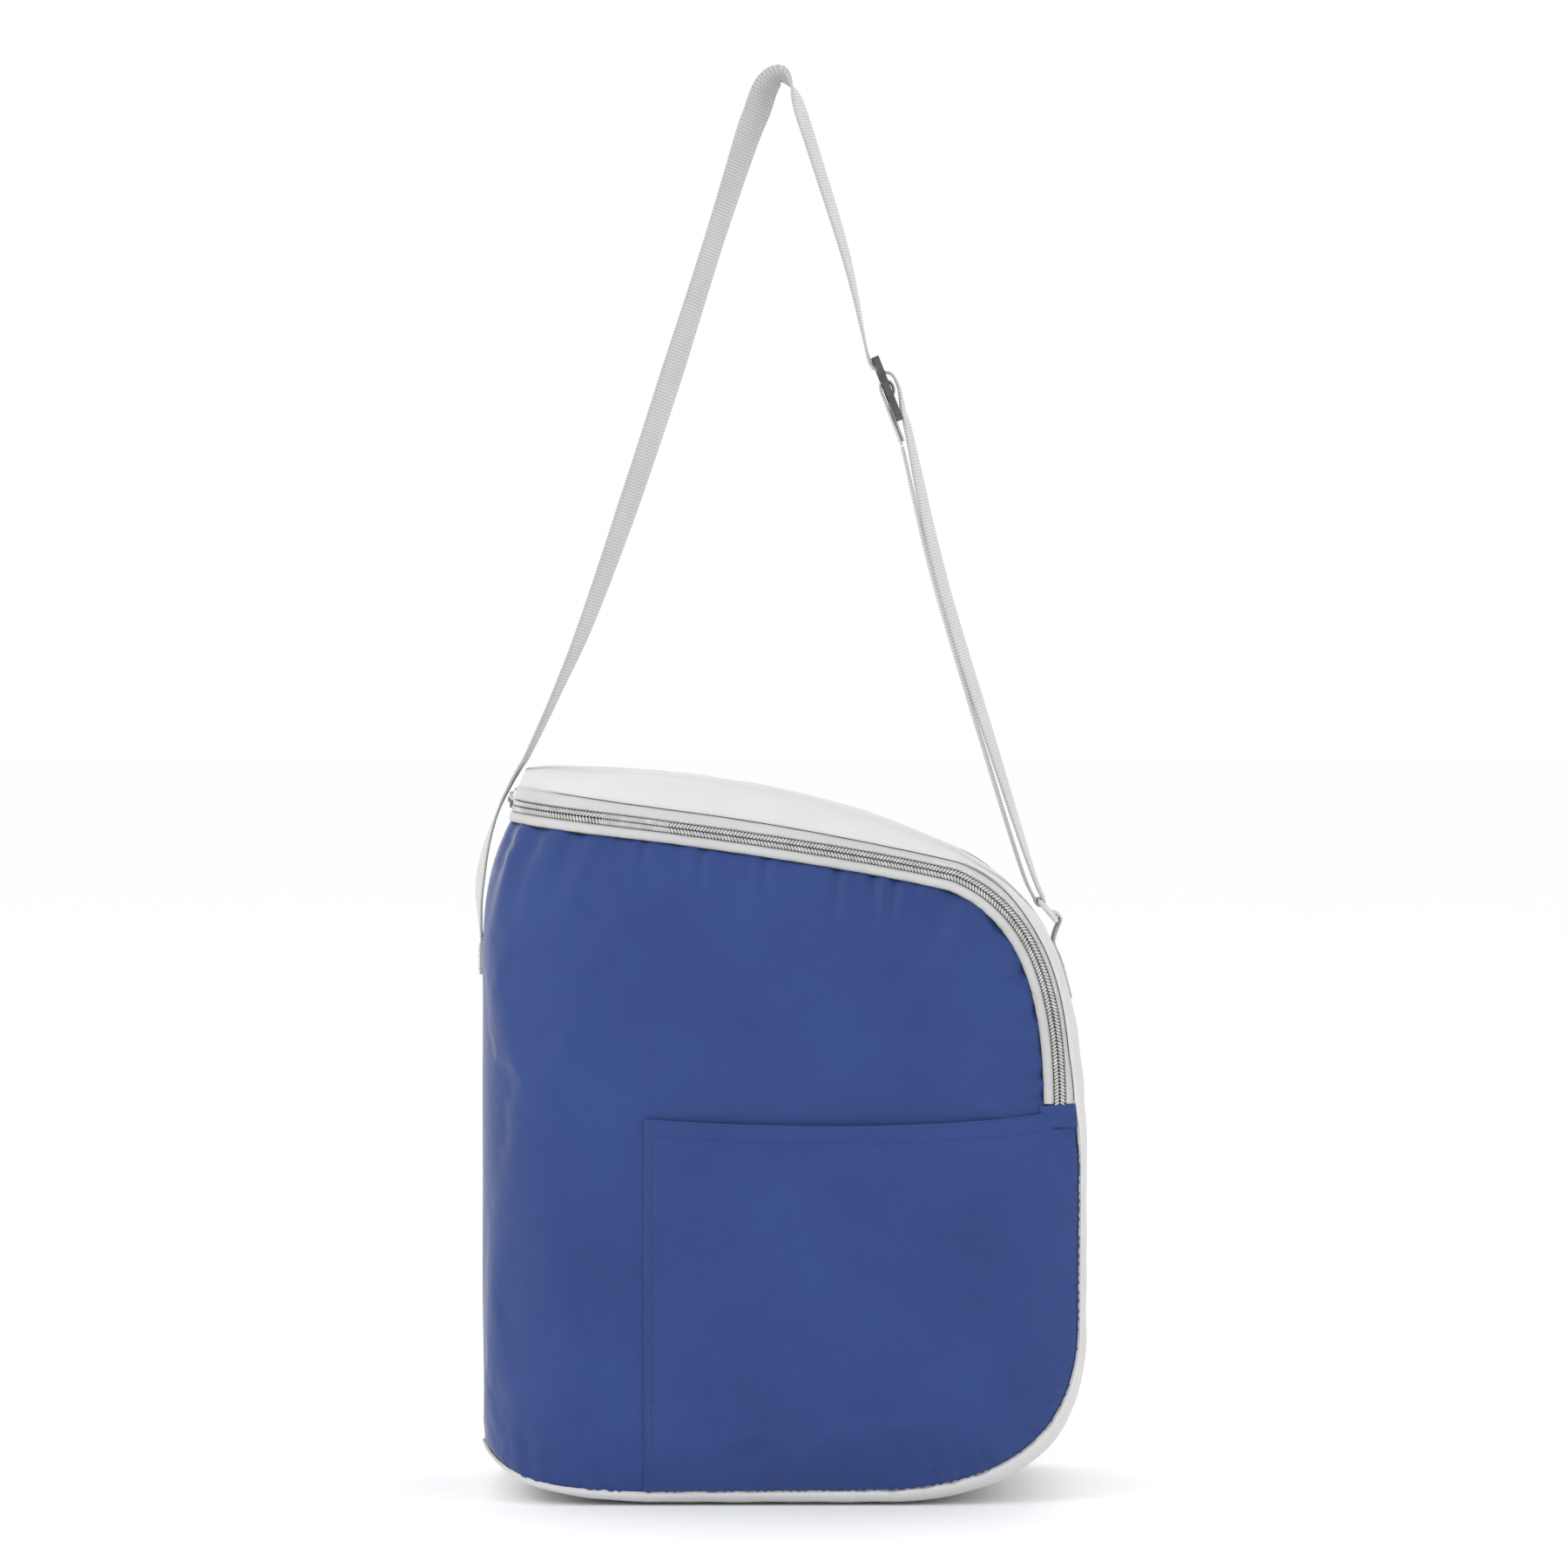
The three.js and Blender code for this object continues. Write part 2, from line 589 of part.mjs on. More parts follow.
place("strap_back_patch", strapBackPatch(), COLOURS.webbing);
place("strap_left_leg", strapLeftLeg(), COLOURS.webbing);
place("strap_apex", strapApex(), COLOURS.webbing);
place("strap_right_leg", strapRightLeg(), COLOURS.webbing);
place("strap_outer_strand", strapOuterStrand(), COLOURS.webbing);
place("strap_inner_strand", strapInnerStrand(), COLOURS.webbing);
place("strap_ring_turn", strapRingTurn(), COLOURS.webbing);
place("strap_end_loop", strapEndLoop(), COLOURS.webbing);
place("strap_adjuster", strapAdjuster(), COLOURS.charcoal, 0.45);
place("front_ring", frontRing(), COLOURS.charcoal, 0.45);
place("front_tab", frontTab(), COLOURS.webbing);

export default coolerBag;
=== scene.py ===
# Looks of the insulated cooler bag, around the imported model. Lengths below are in millimetres.
import math
import random

import bmesh
import bpy
import numpy as np
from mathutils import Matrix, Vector
from mathutils.kdtree import KDTree


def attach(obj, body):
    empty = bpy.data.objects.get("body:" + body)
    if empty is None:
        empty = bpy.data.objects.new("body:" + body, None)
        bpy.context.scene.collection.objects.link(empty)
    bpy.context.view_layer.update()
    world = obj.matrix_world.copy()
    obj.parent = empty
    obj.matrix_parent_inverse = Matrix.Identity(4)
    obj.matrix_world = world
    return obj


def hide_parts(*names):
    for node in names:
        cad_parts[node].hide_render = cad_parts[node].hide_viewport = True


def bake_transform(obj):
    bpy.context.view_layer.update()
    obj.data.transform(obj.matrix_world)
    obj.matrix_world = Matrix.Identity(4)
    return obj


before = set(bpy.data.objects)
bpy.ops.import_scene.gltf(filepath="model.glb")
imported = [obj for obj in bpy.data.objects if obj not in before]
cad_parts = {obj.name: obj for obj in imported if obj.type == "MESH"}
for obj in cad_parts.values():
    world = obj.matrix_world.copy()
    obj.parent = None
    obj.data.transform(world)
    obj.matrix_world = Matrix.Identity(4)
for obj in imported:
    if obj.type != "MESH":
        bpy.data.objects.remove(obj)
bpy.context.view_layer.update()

MM = 0.001

# Driving dimensions, as in the part's source
HALF_LENGTH = 131.5
HALF_THICKNESS = 75.0
REAR_RADIUS = 40.0
REAR_FLAT = HALF_THICKNESS - REAR_RADIUS
LEAN_FROM = 231.0
EASE_FROM = -50.0  # the near face takes up the rear wall's lean behind this
WEB_WIDTH = 25.0
ZIP_END_Z = 174.5
COIL_HALF = 2.6
BINDING_EDGE = -6.9
BASE_SEAM_Z = 24.0
LINER_DEPTH = 6.0
FOAM_DEPTHS = (3.6, 5.4)
POCKET_LEFT = -60.0


# ------------------------------------------------------------------ lines

def bezier(a, b, c, d, count):
    """Points on a cubic Bezier curve from a to d."""
    t = np.linspace(0, 1, count)[:, None]
    a, b, c, d = (np.array(p, float) for p in (a, b, c, d))
    return (1 - t) ** 3 * a + 3 * t * (1 - t) ** 2 * b + 3 * t * t * (1 - t) * c + t ** 3 * d


def line(a, b, count):
    t = np.linspace(0, 1, count)[:, None]
    return (1 - t) * np.array(a, float) + t * np.array(b, float)


def chain(*runs):
    """Runs of points joined end to end, with no point twice."""
    points = np.vstack(runs)
    keep = np.ones(len(points), bool)
    keep[1:] = np.linalg.norm(np.diff(points, axis=0), axis=1) > 1e-6
    return points[keep]


def lengths(points):
    steps = np.linalg.norm(np.diff(points, axis=0), axis=1)
    return np.concatenate([[0], np.cumsum(steps)])


def spaced(points, count):
    """The same line with count points at even spacing."""
    along = lengths(points)
    at = np.linspace(0, along[-1], count)
    return np.stack([np.interp(at, along, points[:, k]) for k in range(points.shape[1])], axis=1)


def spline(points, count):
    """A smooth Catmull-Rom line through points, with count points at even spacing."""
    p = np.array(points, float)
    p = np.vstack([2 * p[0] - p[1], p, 2 * p[-1] - p[-2]])
    t = np.linspace(0, 1, 16, endpoint=False)[:, None]
    runs = []
    for k in range(1, len(p) - 2):
        a, b, c, d = p[k - 1], p[k], p[k + 1], p[k + 2]
        runs.append(0.5 * (2 * b + (c - a) * t + (2 * a - 5 * b + 4 * c - d) * t ** 2
                           + (3 * b - a - 3 * c + d) * t ** 3))
    return spaced(chain(*runs, p[-2:-1]), count)


def tangents(points):
    d = np.gradient(points, axis=0)
    return d / np.maximum(np.linalg.norm(d, axis=1), 1e-9)[:, None]


def beside(points, distance):
    """A line in X-Z moved sideways, to the right of its direction when distance is positive."""
    t = tangents(points)
    return points + np.stack([t[:, 1], -t[:, 0]], axis=1) * np.reshape(distance, (-1, 1))


def ease(start, end, x):
    """0 before start and 1 past end, with a smooth step between."""
    t = np.clip((np.asarray(x, float) - start) / (end - start), 0, 1)
    return t * t * (3 - 2 * t)


def ripple(x, seed, scale):
    """Smooth irregular waves about zero, the same for the same seed."""
    r = random.Random(seed)
    waves = [(r.uniform(0.5, 1.9) / scale, r.uniform(0, 6.28), r.uniform(0.4, 1)) for _ in range(6)]
    return sum(a * np.sin(np.asarray(x) * f * 6.28 + p) for f, p, a in waves) / 3


# ------------------------------------------------------------------ the bag's wall

# The wall is unrolled into (s, z). s is X on the near face, goes on round the rear corner to the
# middle of the rear, and then back along the far side.
CORNER_S = -HALF_LENGTH + REAR_RADIUS
REAR_S = CORNER_S - REAR_RADIUS * math.pi / 2
MIDDLE_S = REAR_S - REAR_FLAT


def rear_x(z):
    z = np.asarray(z, float)
    lean = np.clip((z - LEAN_FROM) / 66, 0, 1)
    return -HALF_LENGTH + 12.5 * lean * lean + 0.24 * np.maximum(0, z - LEAN_FROM - 66)


def wall(s, z, out=0.0):
    """Points on the bag's wall at unrolled places, moved outwards by out."""
    s, z, out = np.broadcast_arrays(np.asarray(s, float), np.asarray(z, float), np.asarray(out, float))
    far = s < MIDDLE_S
    s = np.where(far, 2 * MIDDLE_S - s, s)
    shift = rear_x(z) + HALF_LENGTH
    run = EASE_FROM - CORNER_S
    theta = np.clip((CORNER_S - s) / REAR_RADIUS, 0, math.pi / 2)
    flat_x = np.where(s > EASE_FROM, s, EASE_FROM + (s - EASE_FROM) * (run - shift) / run)
    round_x = rear_x(z) + REAR_RADIUS * (1 - np.sin(theta))
    x = np.where(s >= CORNER_S, flat_x, round_x) - np.sin(theta) * out
    y = -REAR_FLAT - REAR_RADIUS * np.cos(theta) - np.cos(theta) * out
    y = np.where(s < REAR_S, y + (REAR_S - s), y)
    return np.stack([x, np.where(far, -y, y), z], axis=-1)


def unroll(points):
    """Side-view (X, Z) points on the near side as (s, z)."""
    x, z = points[:, 0], points[:, 1]
    shift = rear_x(z) + HALF_LENGTH
    run = EASE_FROM - CORNER_S
    corner_x = CORNER_S + shift
    flat = np.where(x > EASE_FROM, x, EASE_FROM + (x - EASE_FROM) * run / (run - shift))
    theta = np.arcsin(np.clip((corner_x - x) / REAR_RADIUS, 0, 1))
    return np.stack([np.where(x >= corner_x, flat, CORNER_S - REAR_RADIUS * theta), z], axis=1)


def mirrored(points):
    """Unrolled places on the near side as those on the far side."""
    return np.stack([2 * MIDDLE_S - points[:, 0], points[:, 1]], axis=1)


# Side outlines. The silhouette is where the grey strip stands furthest out.
SILHOUETTE = chain(
    bezier((-131.5, 30), (-131.5, 6), (-95, 2), (-60, 0), 30),
    line((-60, 0), (50, 0), 20),
    bezier((50, 0), (120, 4), (131, 40), (131.5, 75), 40),
    line((131.5, 75), (131.5, 150), 10),
    bezier((131.5, 150), (131.5, 194), (124.6, 242), (105, 260.4), 40),
    bezier((105, 260.4), (61.5, 297.6), (-20, 317.2), (-112, 316.8), 60),
    line((-112, 316.8), (-118, 316.4), 4),
)
SEAM_REAR = bezier((-131.5, BASE_SEAM_Z), (-122, 9), (-95, 6.5), (-60, 5.5), 40)
SEAM_FRONT = chain(
    line((-60, 5.5), (44, 6.5), 30),
    bezier((44, 6.5), (108, 9), (126, 40), (127.6, 75), 40),
    line((127.6, 75), (128, 150), 20),
)
ZIP_SIDE = chain(
    bezier((119.3, ZIP_END_Z), (119, 215), (112.5, 257), (74, 273.2), 50),
    bezier((74, 273.2), (37, 282.6), (-50, 295.2), (-117.3, 302.3), 70),
)
ZIP_NEAR = spaced(chain(unroll(ZIP_SIDE), line((REAR_S, 302.5), (MIDDLE_S, 302.8), 14)), 260)
ZIP_ALL = chain(ZIP_NEAR, mirrored(ZIP_NEAR)[::-1])


def band_edge(points):
    """How far over the zip's middle the grey band ends, along a line of (s, z) points."""
    s = np.where(points[:, 0] < MIDDLE_S, 2 * MIDDLE_S - points[:, 0], points[:, 0])
    z = points[:, 1]
    return (4.6 + 1.4 * ease(200, 176, z) + 1.2 * ease(240, 266, z) * ease(108, 90, s)
            + 1.6 * ease(70, -30, s) + 0.9 * ease(-80, -130, s))


# ------------------------------------------------------------------ meshes

def make(name, vertices, faces, material, uvs=None, smooth=True):
    """A mesh object from points in millimetres, with UVs in millimetres too."""
    mesh = bpy.data.meshes.new(name)
    mesh.from_pydata((np.asarray(vertices, float) * MM).tolist(), [], [list(map(int, f)) for f in faces])
    if uvs is not None:
        uvs = np.asarray(uvs, float) * MM
        layer = mesh.uv_layers.new(name="Cloth")
        loops = np.zeros(len(mesh.loops), np.int32)
        mesh.loops.foreach_get("vertex_index", loops)
        layer.data.foreach_set("uv", uvs[loops].astype(np.float32).ravel())
    mesh.polygons.foreach_set("use_smooth", [smooth] * len(mesh.polygons))
    mesh.materials.append(material)
    mesh.validate()
    mesh.update()
    obj = bpy.data.objects.new(name, mesh)
    bpy.context.scene.collection.objects.link(obj)
    return obj


def facing_out(obj):
    """Turns every face of a closed mesh outwards."""
    work = bmesh.new()
    work.from_mesh(obj.data)
    if work.calc_volume(signed=True) < 0:
        bmesh.ops.reverse_faces(work, faces=work.faces)
        work.to_mesh(obj.data)
    work.free()
    return obj


def grid_faces(rows, columns, start=0, flip=False):
    faces = []
    for i in range(rows - 1):
        for j in range(columns - 1):
            a = start + i * columns + j
            face = (a, a + 1, a + columns + 1, a + columns)
            faces.append(face[::-1] if flip else face)
    return faces


def slab(name, outer, inner, material, uvs):
    """A closed sheet between two grids of points of the same size, each [rows, columns, 3]."""
    rows, columns = outer.shape[:2]
    count = rows * columns
    faces = grid_faces(rows, columns) + grid_faces(rows, columns, count, flip=True)
    rim = ([(0, j) for j in range(columns)] + [(i, columns - 1) for i in range(1, rows)]
           + [(rows - 1, j) for j in range(columns - 2, -1, -1)] + [(i, 0) for i in range(rows - 2, 0, -1)])
    ring = [i * columns + j for i, j in rim]
    for a, b in zip(ring, ring[1:] + ring[:1]):
        faces.append((b, a, a + count, b + count))
    return facing_out(make(name, np.vstack([outer.reshape(-1, 3), inner.reshape(-1, 3)]), faces, material,
                           np.vstack([uvs.reshape(-1, 2)] * 2)))


def grid_normals(grid):
    along = np.gradient(grid, axis=0)
    across = np.gradient(grid, axis=1)
    n = np.cross(across, along)
    return n / np.maximum(np.linalg.norm(n, axis=2), 1e-9)[:, :, None]


def lofted(name, sections, material, uvs):
    """A closed mesh through closed cross-sections, [rows, points, 3], with flat ends."""
    rows, count = sections.shape[:2]
    faces = [(i * count + j, i * count + (j + 1) % count, (i + 1) * count + (j + 1) % count, (i + 1) * count + j)
             for i in range(rows - 1) for j in range(count)]
    faces.append(tuple(range(count))[::-1])
    faces.append(tuple((rows - 1) * count + j for j in range(count)))
    obj = facing_out(make(name, sections.reshape(-1, 3), faces, material, uvs.reshape(-1, 2)))
    obj.data.set_sharp_from_angle(angle=math.radians(38))
    return obj


def settle(*objs, replaces=(), body=None, slot=None, fold=False, slide=None):
    """Hides the CAD parts that each piece replaces and attaches it to its body; a piece that folds or slides only has
    its transform baked. slot is not used.
    """
    for k, obj in enumerate(objs):
        if k == 0 and replaces:
            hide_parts(*replaces)
        if fold:
            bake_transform(obj)
        elif slide:
            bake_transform(obj)
        else:
            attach(obj, body)


# ------------------------------------------------------------------ materials

class Shader:
    """A Principled material whose patterns are measured in metres, on UVs or on a CAD node's space."""

    def __init__(self, name, on_cad=False, **plain):
        self.material = bpy.data.materials.new(name)
        self.material.use_nodes = True
        self.tree = self.material.node_tree
        self.shader = next(n for n in self.tree.nodes if n.type == "BSDF_PRINCIPLED")
        for key, value in plain.items():
            self.shader.inputs[key.replace("_", " ")].default_value = value
        if on_cad:
            self.at = self.tree.nodes.new("ShaderNodeTexCoord").outputs["Object"]
        else:
            uv = self.tree.nodes.new("ShaderNodeUVMap")
            uv.uv_map = "Cloth"
            self.at = uv.outputs["UV"]

    def link(self, value, socket):
        if isinstance(value, (int, float, tuple)):
            socket.default_value = value
        else:
            self.tree.links.new(value, socket)

    def maths(self, operation, a, b=0.0):
        n = self.tree.nodes.new("ShaderNodeMath")
        n.operation = operation
        self.link(a, n.inputs[0])
        self.link(b, n.inputs[1])
        return n.outputs[0]

    def wave(self, across, along):
        """A sine along a direction, with the direction's length as radians a metre."""
        dot = self.tree.nodes.new("ShaderNodeVectorMath")
        dot.operation = "DOT_PRODUCT"
        self.tree.links.new(self.at, dot.inputs[0])
        dot.inputs[1].default_value = (across, along, 0.37 * across)
        return self.maths("SINE", dot.outputs["Value"])

    def noise(self, scale, detail=3.0, roughness=0.55):
        n = self.tree.nodes.new("ShaderNodeTexNoise")
        self.tree.links.new(self.at, n.inputs["Vector"])
        n.inputs["Scale"].default_value = scale
        n.inputs["Detail"].default_value = detail
        n.inputs["Roughness"].default_value = roughness
        return n.outputs["Fac"]

    def span(self, value, low, high, to_low, to_high):
        n = self.tree.nodes.new("ShaderNodeMapRange")
        for key, number in (("From Min", low), ("From Max", high), ("To Min", to_low), ("To Max", to_high)):
            n.inputs[key].default_value = number
        self.tree.links.new(value, n.inputs["Value"])
        return n.outputs["Result"]

    def mix(self, factor, a, b):
        n = self.tree.nodes.new("ShaderNodeMix")
        n.data_type = "RGBA"
        self.link(factor, n.inputs["Factor"])
        self.link(a, n.inputs[6])
        self.link(b, n.inputs[7])
        return n.outputs[2]

    def finish(self, colour, roughness, height, depth):
        """Colour, roughness and bump, with the bump's depth in metres."""
        bump = self.tree.nodes.new("ShaderNodeBump")
        bump.inputs["Distance"].default_value = depth
        bump.inputs["Strength"].default_value = 1.0
        self.tree.links.new(height, bump.inputs["Height"])
        self.tree.links.new(bump.outputs["Normal"], self.shader.inputs["Normal"])
        self.tree.links.new(colour, self.shader.inputs["Base Color"])
        self.tree.links.new(roughness, self.shader.inputs["Roughness"])
        return self.material


def shade(r, g, b, gain=1.0):
    """An sRGB colour, 0 to 255, as a linear one."""
    return tuple(gain * ((c / 255 + 0.055) / 1.055) ** 2.4 for c in (r, g, b)) + (1.0,)


def turns(pitch):
    """Radians a metre for a pattern that repeats every pitch millimetres."""
    return 2 * math.pi / (pitch * MM)


def nylon(name, light, dark, pitch=0.9, contrast=0.16, sheen=0.35, gloss=(0.42, 0.6)):
    """Diagonal nylon cloth with a soft sheen, cloudy colour and fine threads."""
    s = Shader(name, Sheen_Weight=sheen, Sheen_Roughness=0.4, Specular_IOR_Level=0.35)
    k = turns(pitch)
    twill = s.wave(0.62 * k, 0.78 * k)
    threads = s.wave(0.9 * k, -0.72 * k)
    weave = s.maths("MULTIPLY_ADD", twill, 0.6)
    weave.node.inputs[2].default_value = 0.5
    weave = s.maths("ADD", weave, s.maths("MULTIPLY", s.maths("MULTIPLY", twill, threads), 0.35))
    clouds = s.noise(14, 4)
    soft = s.mix(s.span(clouds, 0.32, 0.68, 0, 1), dark, light)
    worn = s.mix(s.span(s.noise(160, 5), 0.55, 0.8, 0, 0.22), soft, light)
    low = tuple(c * (1 - contrast) for c in light[:3]) + (1.0,)
    shaded = s.mix(s.span(weave, 0.0, 1.0, contrast * 2.2, 0.0), worn, tuple(c * 0.45 for c in low[:3]) + (1.0,))
    rough = s.span(s.maths("ADD", clouds, s.maths("MULTIPLY", weave, 0.3)), 0.3, 1.0, gloss[0], gloss[1])
    creep = s.maths("ADD", s.maths("MULTIPLY", weave, 0.35), s.maths("MULTIPLY", s.noise(90, 4), 3.2))
    return s.finish(shaded, rough, creep, 0.00016)


def webbing(name, light, dark):
    """Woven webbing: cords across its width and pairs of threads along it. U is across, V along."""
    s = Shader(name, Sheen_Weight=0.25, Sheen_Roughness=0.5, Specular_IOR_Level=0.3)
    ribs = s.wave(0.0, turns(1.35))
    cords = s.wave(turns(1.9), 0.0)
    slant = s.wave(turns(3.8), turns(2.7))
    weave = s.maths("ADD", s.maths("MULTIPLY", ribs, 0.32), s.maths("MULTIPLY", cords, 0.2))
    weave = s.maths("ADD", weave, s.maths("MULTIPLY", slant, 0.16))
    fuzz = s.noise(700, 5, 0.7)
    tone = s.maths("ADD", s.span(weave, -0.6, 0.6, 0.0, 0.8), s.maths("MULTIPLY", s.noise(35, 3), 0.35))
    colour = s.mix(s.span(tone, 0.1, 1.0, 0, 1), dark, light)
    rough = s.span(fuzz, 0.2, 0.8, 0.7, 0.95)
    height = s.maths("ADD", weave, s.maths("MULTIPLY", fuzz, 0.5))
    return s.finish(colour, rough, height, 0.00009)


def moulded(name, light, dark, on_cad, rough=(0.3, 0.5), **plain):
    """Moulded plastic or plated metal, with a fine grain and a mottled tone."""
    s = Shader(name, on_cad=on_cad, **plain)
    colour = s.mix(s.span(s.noise(220, 5), 0.35, 0.7, 0, 1), dark, light)
    return s.finish(colour, s.span(s.noise(500, 4), 0.3, 0.7, rough[0], rough[1]), s.noise(1400, 4), 0.00004)


BLUE = nylon("blue_nylon", shade(40, 73, 143, 0.84), shade(28, 60, 129, 0.84), 0.9, 0.2)
GREY = nylon("grey_cloth", shade(213, 213, 213), shade(203, 203, 204), 0.7, 0.03, 0.15, (0.6, 0.8))
BINDING = nylon("binding_cloth", shade(205, 205, 204), shade(190, 190, 190), 0.8, 0.05, 0.2, (0.6, 0.8))
# Dark grey for the strips laid in the seams' crevices: painted shade.
SEAM_SHADE = nylon("painted_seam_shade", shade(62, 62, 66), shade(38, 38, 44), 0.9, 0.1, 0.1, (0.8, 0.95))
# The zip tape's grey is darkened to paint the shade that falls between the two coil rows.
TAPE_PAINTED_SHADE = nylon("zip_tape_painted_shade", shade(128, 128, 127), shade(100, 100, 100), 1.1, 0.1, 0.1, (0.7, 0.9))
WEBBING = webbing("grey_webbing", shade(218, 218, 216), shade(158, 158, 157))
THREAD_BLUE = moulded("blue_thread", shade(44, 66, 132), shade(34, 54, 112), False, (0.5, 0.7))
THREAD_GREY = moulded("grey_thread", shade(236, 236, 234), shade(200, 200, 198), False, (0.5, 0.7))
TEETH = moulded("coil_nylon", shade(206, 206, 204), shade(176, 176, 174), False, (0.25, 0.45))
CHARCOAL = moulded("charcoal_plastic", shade(78, 80, 83), shade(54, 55, 58), True, (0.32, 0.55))
PALE_PLASTIC = moulded("pale_plastic", shade(214, 214, 213), shade(196, 196, 195), True, (0.3, 0.5))
METAL = moulded("zip_metal", shade(190, 190, 188), shade(150, 150, 149), True, (0.2, 0.42), Metallic=0.9)
BOARD = moulded("fibre_board", shade(150, 140, 124), shade(118, 108, 94), True, (0.8, 0.95))
FOAM = moulded("white_foam", shade(240, 240, 236), shade(222, 222, 217), False, (0.85, 0.98))


def foil(name):
    """The lining: pale foil-faced film with a fine quilted emboss."""
    s = Shader(name, Specular_IOR_Level=0.6, Metallic=0.25)
    k = turns(4.2)
    quilt = s.maths("MULTIPLY", s.wave(k, k), s.wave(k, -k))
    crumple = s.noise(40, 6, 0.6)
    colour = s.mix(s.span(crumple, 0.35, 0.7, 0, 1), shade(196, 200, 204), shade(226, 229, 232))
    height = s.maths("ADD", s.maths("MULTIPLY", quilt, 0.25), s.maths("MULTIPLY", crumple, 2.5))
    return s.finish(colour, s.span(crumple, 0.3, 0.7, 0.18, 0.36), height, 0.0006)


LINING = foil("foil_lining")


# ------------------------------------------------------------------ cloth shapes

def coons(bottom, right, top, left, rows, columns):
    """A grid between four edges: bottom and top run the same way, and so do left and right."""
    b, t = spaced(bottom, columns), spaced(top, columns)
    l, r = spaced(left, rows), spaced(right, rows)
    u = np.linspace(0, 1, columns)[None, :, None]
    v = np.linspace(0, 1, rows)[:, None, None]
    corners = ((1 - u) * (1 - v) * b[0] + u * (1 - v) * b[-1] + (1 - u) * v * t[0] + u * v * t[-1])
    return (1 - v) * b[None] + v * t[None] + (1 - u) * l[:, None] + u * r[:, None] - corners


def nearest(points, edge):
    """Each point's distance from a polyline, and how far along it the nearest place is."""
    flat = points.reshape(-1, 2)
    along = lengths(edge)
    best = np.full(len(flat), 1e9)
    where = np.zeros(len(flat))
    for start in range(0, len(flat), 4000):
        part = flat[start:start + 4000]
        d = np.linalg.norm(part[:, None] - edge[None], axis=2)
        k = d.argmin(axis=1)
        best[start:start + 4000] = d[np.arange(len(part)), k]
        where[start:start + 4000] = along[k]
    return best.reshape(points.shape[:2]), where.reshape(points.shape[:2])


def creases(points, folds):
    """Short folds: each runs from (s, z) to (s, z), deepest at its start, with a width and a depth."""
    total = np.zeros(points.shape[:2])
    for s0, z0, s1, z1, width, depth in folds:
        run = np.array([s1 - s0, z1 - z0], float)
        t = np.clip(((points - (s0, z0)) @ run) / (run @ run), 0, 1)
        gap = np.linalg.norm(points - (np.array([s0, z0]) + t[..., None] * run), axis=2)
        rise = np.exp(-((gap - 2 * width) / width) ** 2)
        total += depth * (1 - t) ** 0.7 * (0.55 * rise - np.exp(-(gap / width) ** 2))
    return total


def inflated(points, held, limit, pressure, grow, frames=18):
    """A cloth simulation of a grid of points, held where held is 1. No point moves over limit."""
    rows, columns = points.shape[:2]
    obj = make("cloth_rest", points.reshape(-1, 3), grid_faces(rows, columns), BLUE)
    group = obj.vertex_groups.new(name="held")
    for k, weight in enumerate(held.ravel()):
        group.add([k], float(weight), "REPLACE")
    cloth = obj.modifiers.new("Cloth", "CLOTH")
    cloth.settings.vertex_group_mass = "held"
    cloth.settings.quality = 6
    cloth.settings.mass = 0.12
    cloth.settings.tension_stiffness = 30
    cloth.settings.compression_stiffness = 12
    cloth.settings.shear_stiffness = 8
    cloth.settings.bending_stiffness = 0.6
    cloth.settings.shrink_min = -grow
    cloth.settings.use_pressure = True
    cloth.settings.uniform_pressure_force = pressure
    cloth.settings.effector_weights.gravity = 0
    cloth.point_cache.frame_start, cloth.point_cache.frame_end = 1, frames
    scene = bpy.context.scene
    for frame_number in range(1, frames + 1):
        scene.frame_set(frame_number)
    settled = obj.evaluated_get(bpy.context.evaluated_depsgraph_get())
    co = np.zeros(rows * columns * 3, np.float32)
    settled.data.vertices.foreach_get("co", co)
    scene.frame_set(1)
    mesh = obj.data
    bpy.data.objects.remove(obj)
    bpy.data.meshes.remove(mesh)
    moved = co.reshape(rows, columns, 3) / MM - points
    size = np.linalg.norm(moved, axis=2, keepdims=True)
    return points + moved * np.minimum(1, limit / np.maximum(size, 1e-9))


# The blue wrap's edge on the near side, from the middle of the rear round to the middle again.
NEAR_SEAM = chain(
    line((MIDDLE_S, BASE_SEAM_Z), (REAR_S, BASE_SEAM_Z), 20),
    unroll(SEAM_REAR),
    unroll(SEAM_FRONT),
    bezier((128, 150), (127.8, 168), (112.4, 160), (112.4, 177), 16),
    beside(ZIP_NEAR, BINDING_EDGE)[2:],
)
LOW_CORNER = int(np.linalg.norm(NEAR_SEAM - (108, 20), axis=1).argmin())
HIGH_CORNER = int(np.linalg.norm(NEAR_SEAM - (96, 247), axis=1).argmin())


def wrap_patch(rows, columns):
    """Unrolled places over the near half of the wrap, from the middle of the rear to the front."""
    top = NEAR_SEAM[HIGH_CORNER:][::-1]
    return coons(NEAR_SEAM[:LOW_CORNER + 1], NEAR_SEAM[LOW_CORNER:HIGH_CORNER + 1], top,
                 line(NEAR_SEAM[0], NEAR_SEAM[-1], 40), rows, columns)


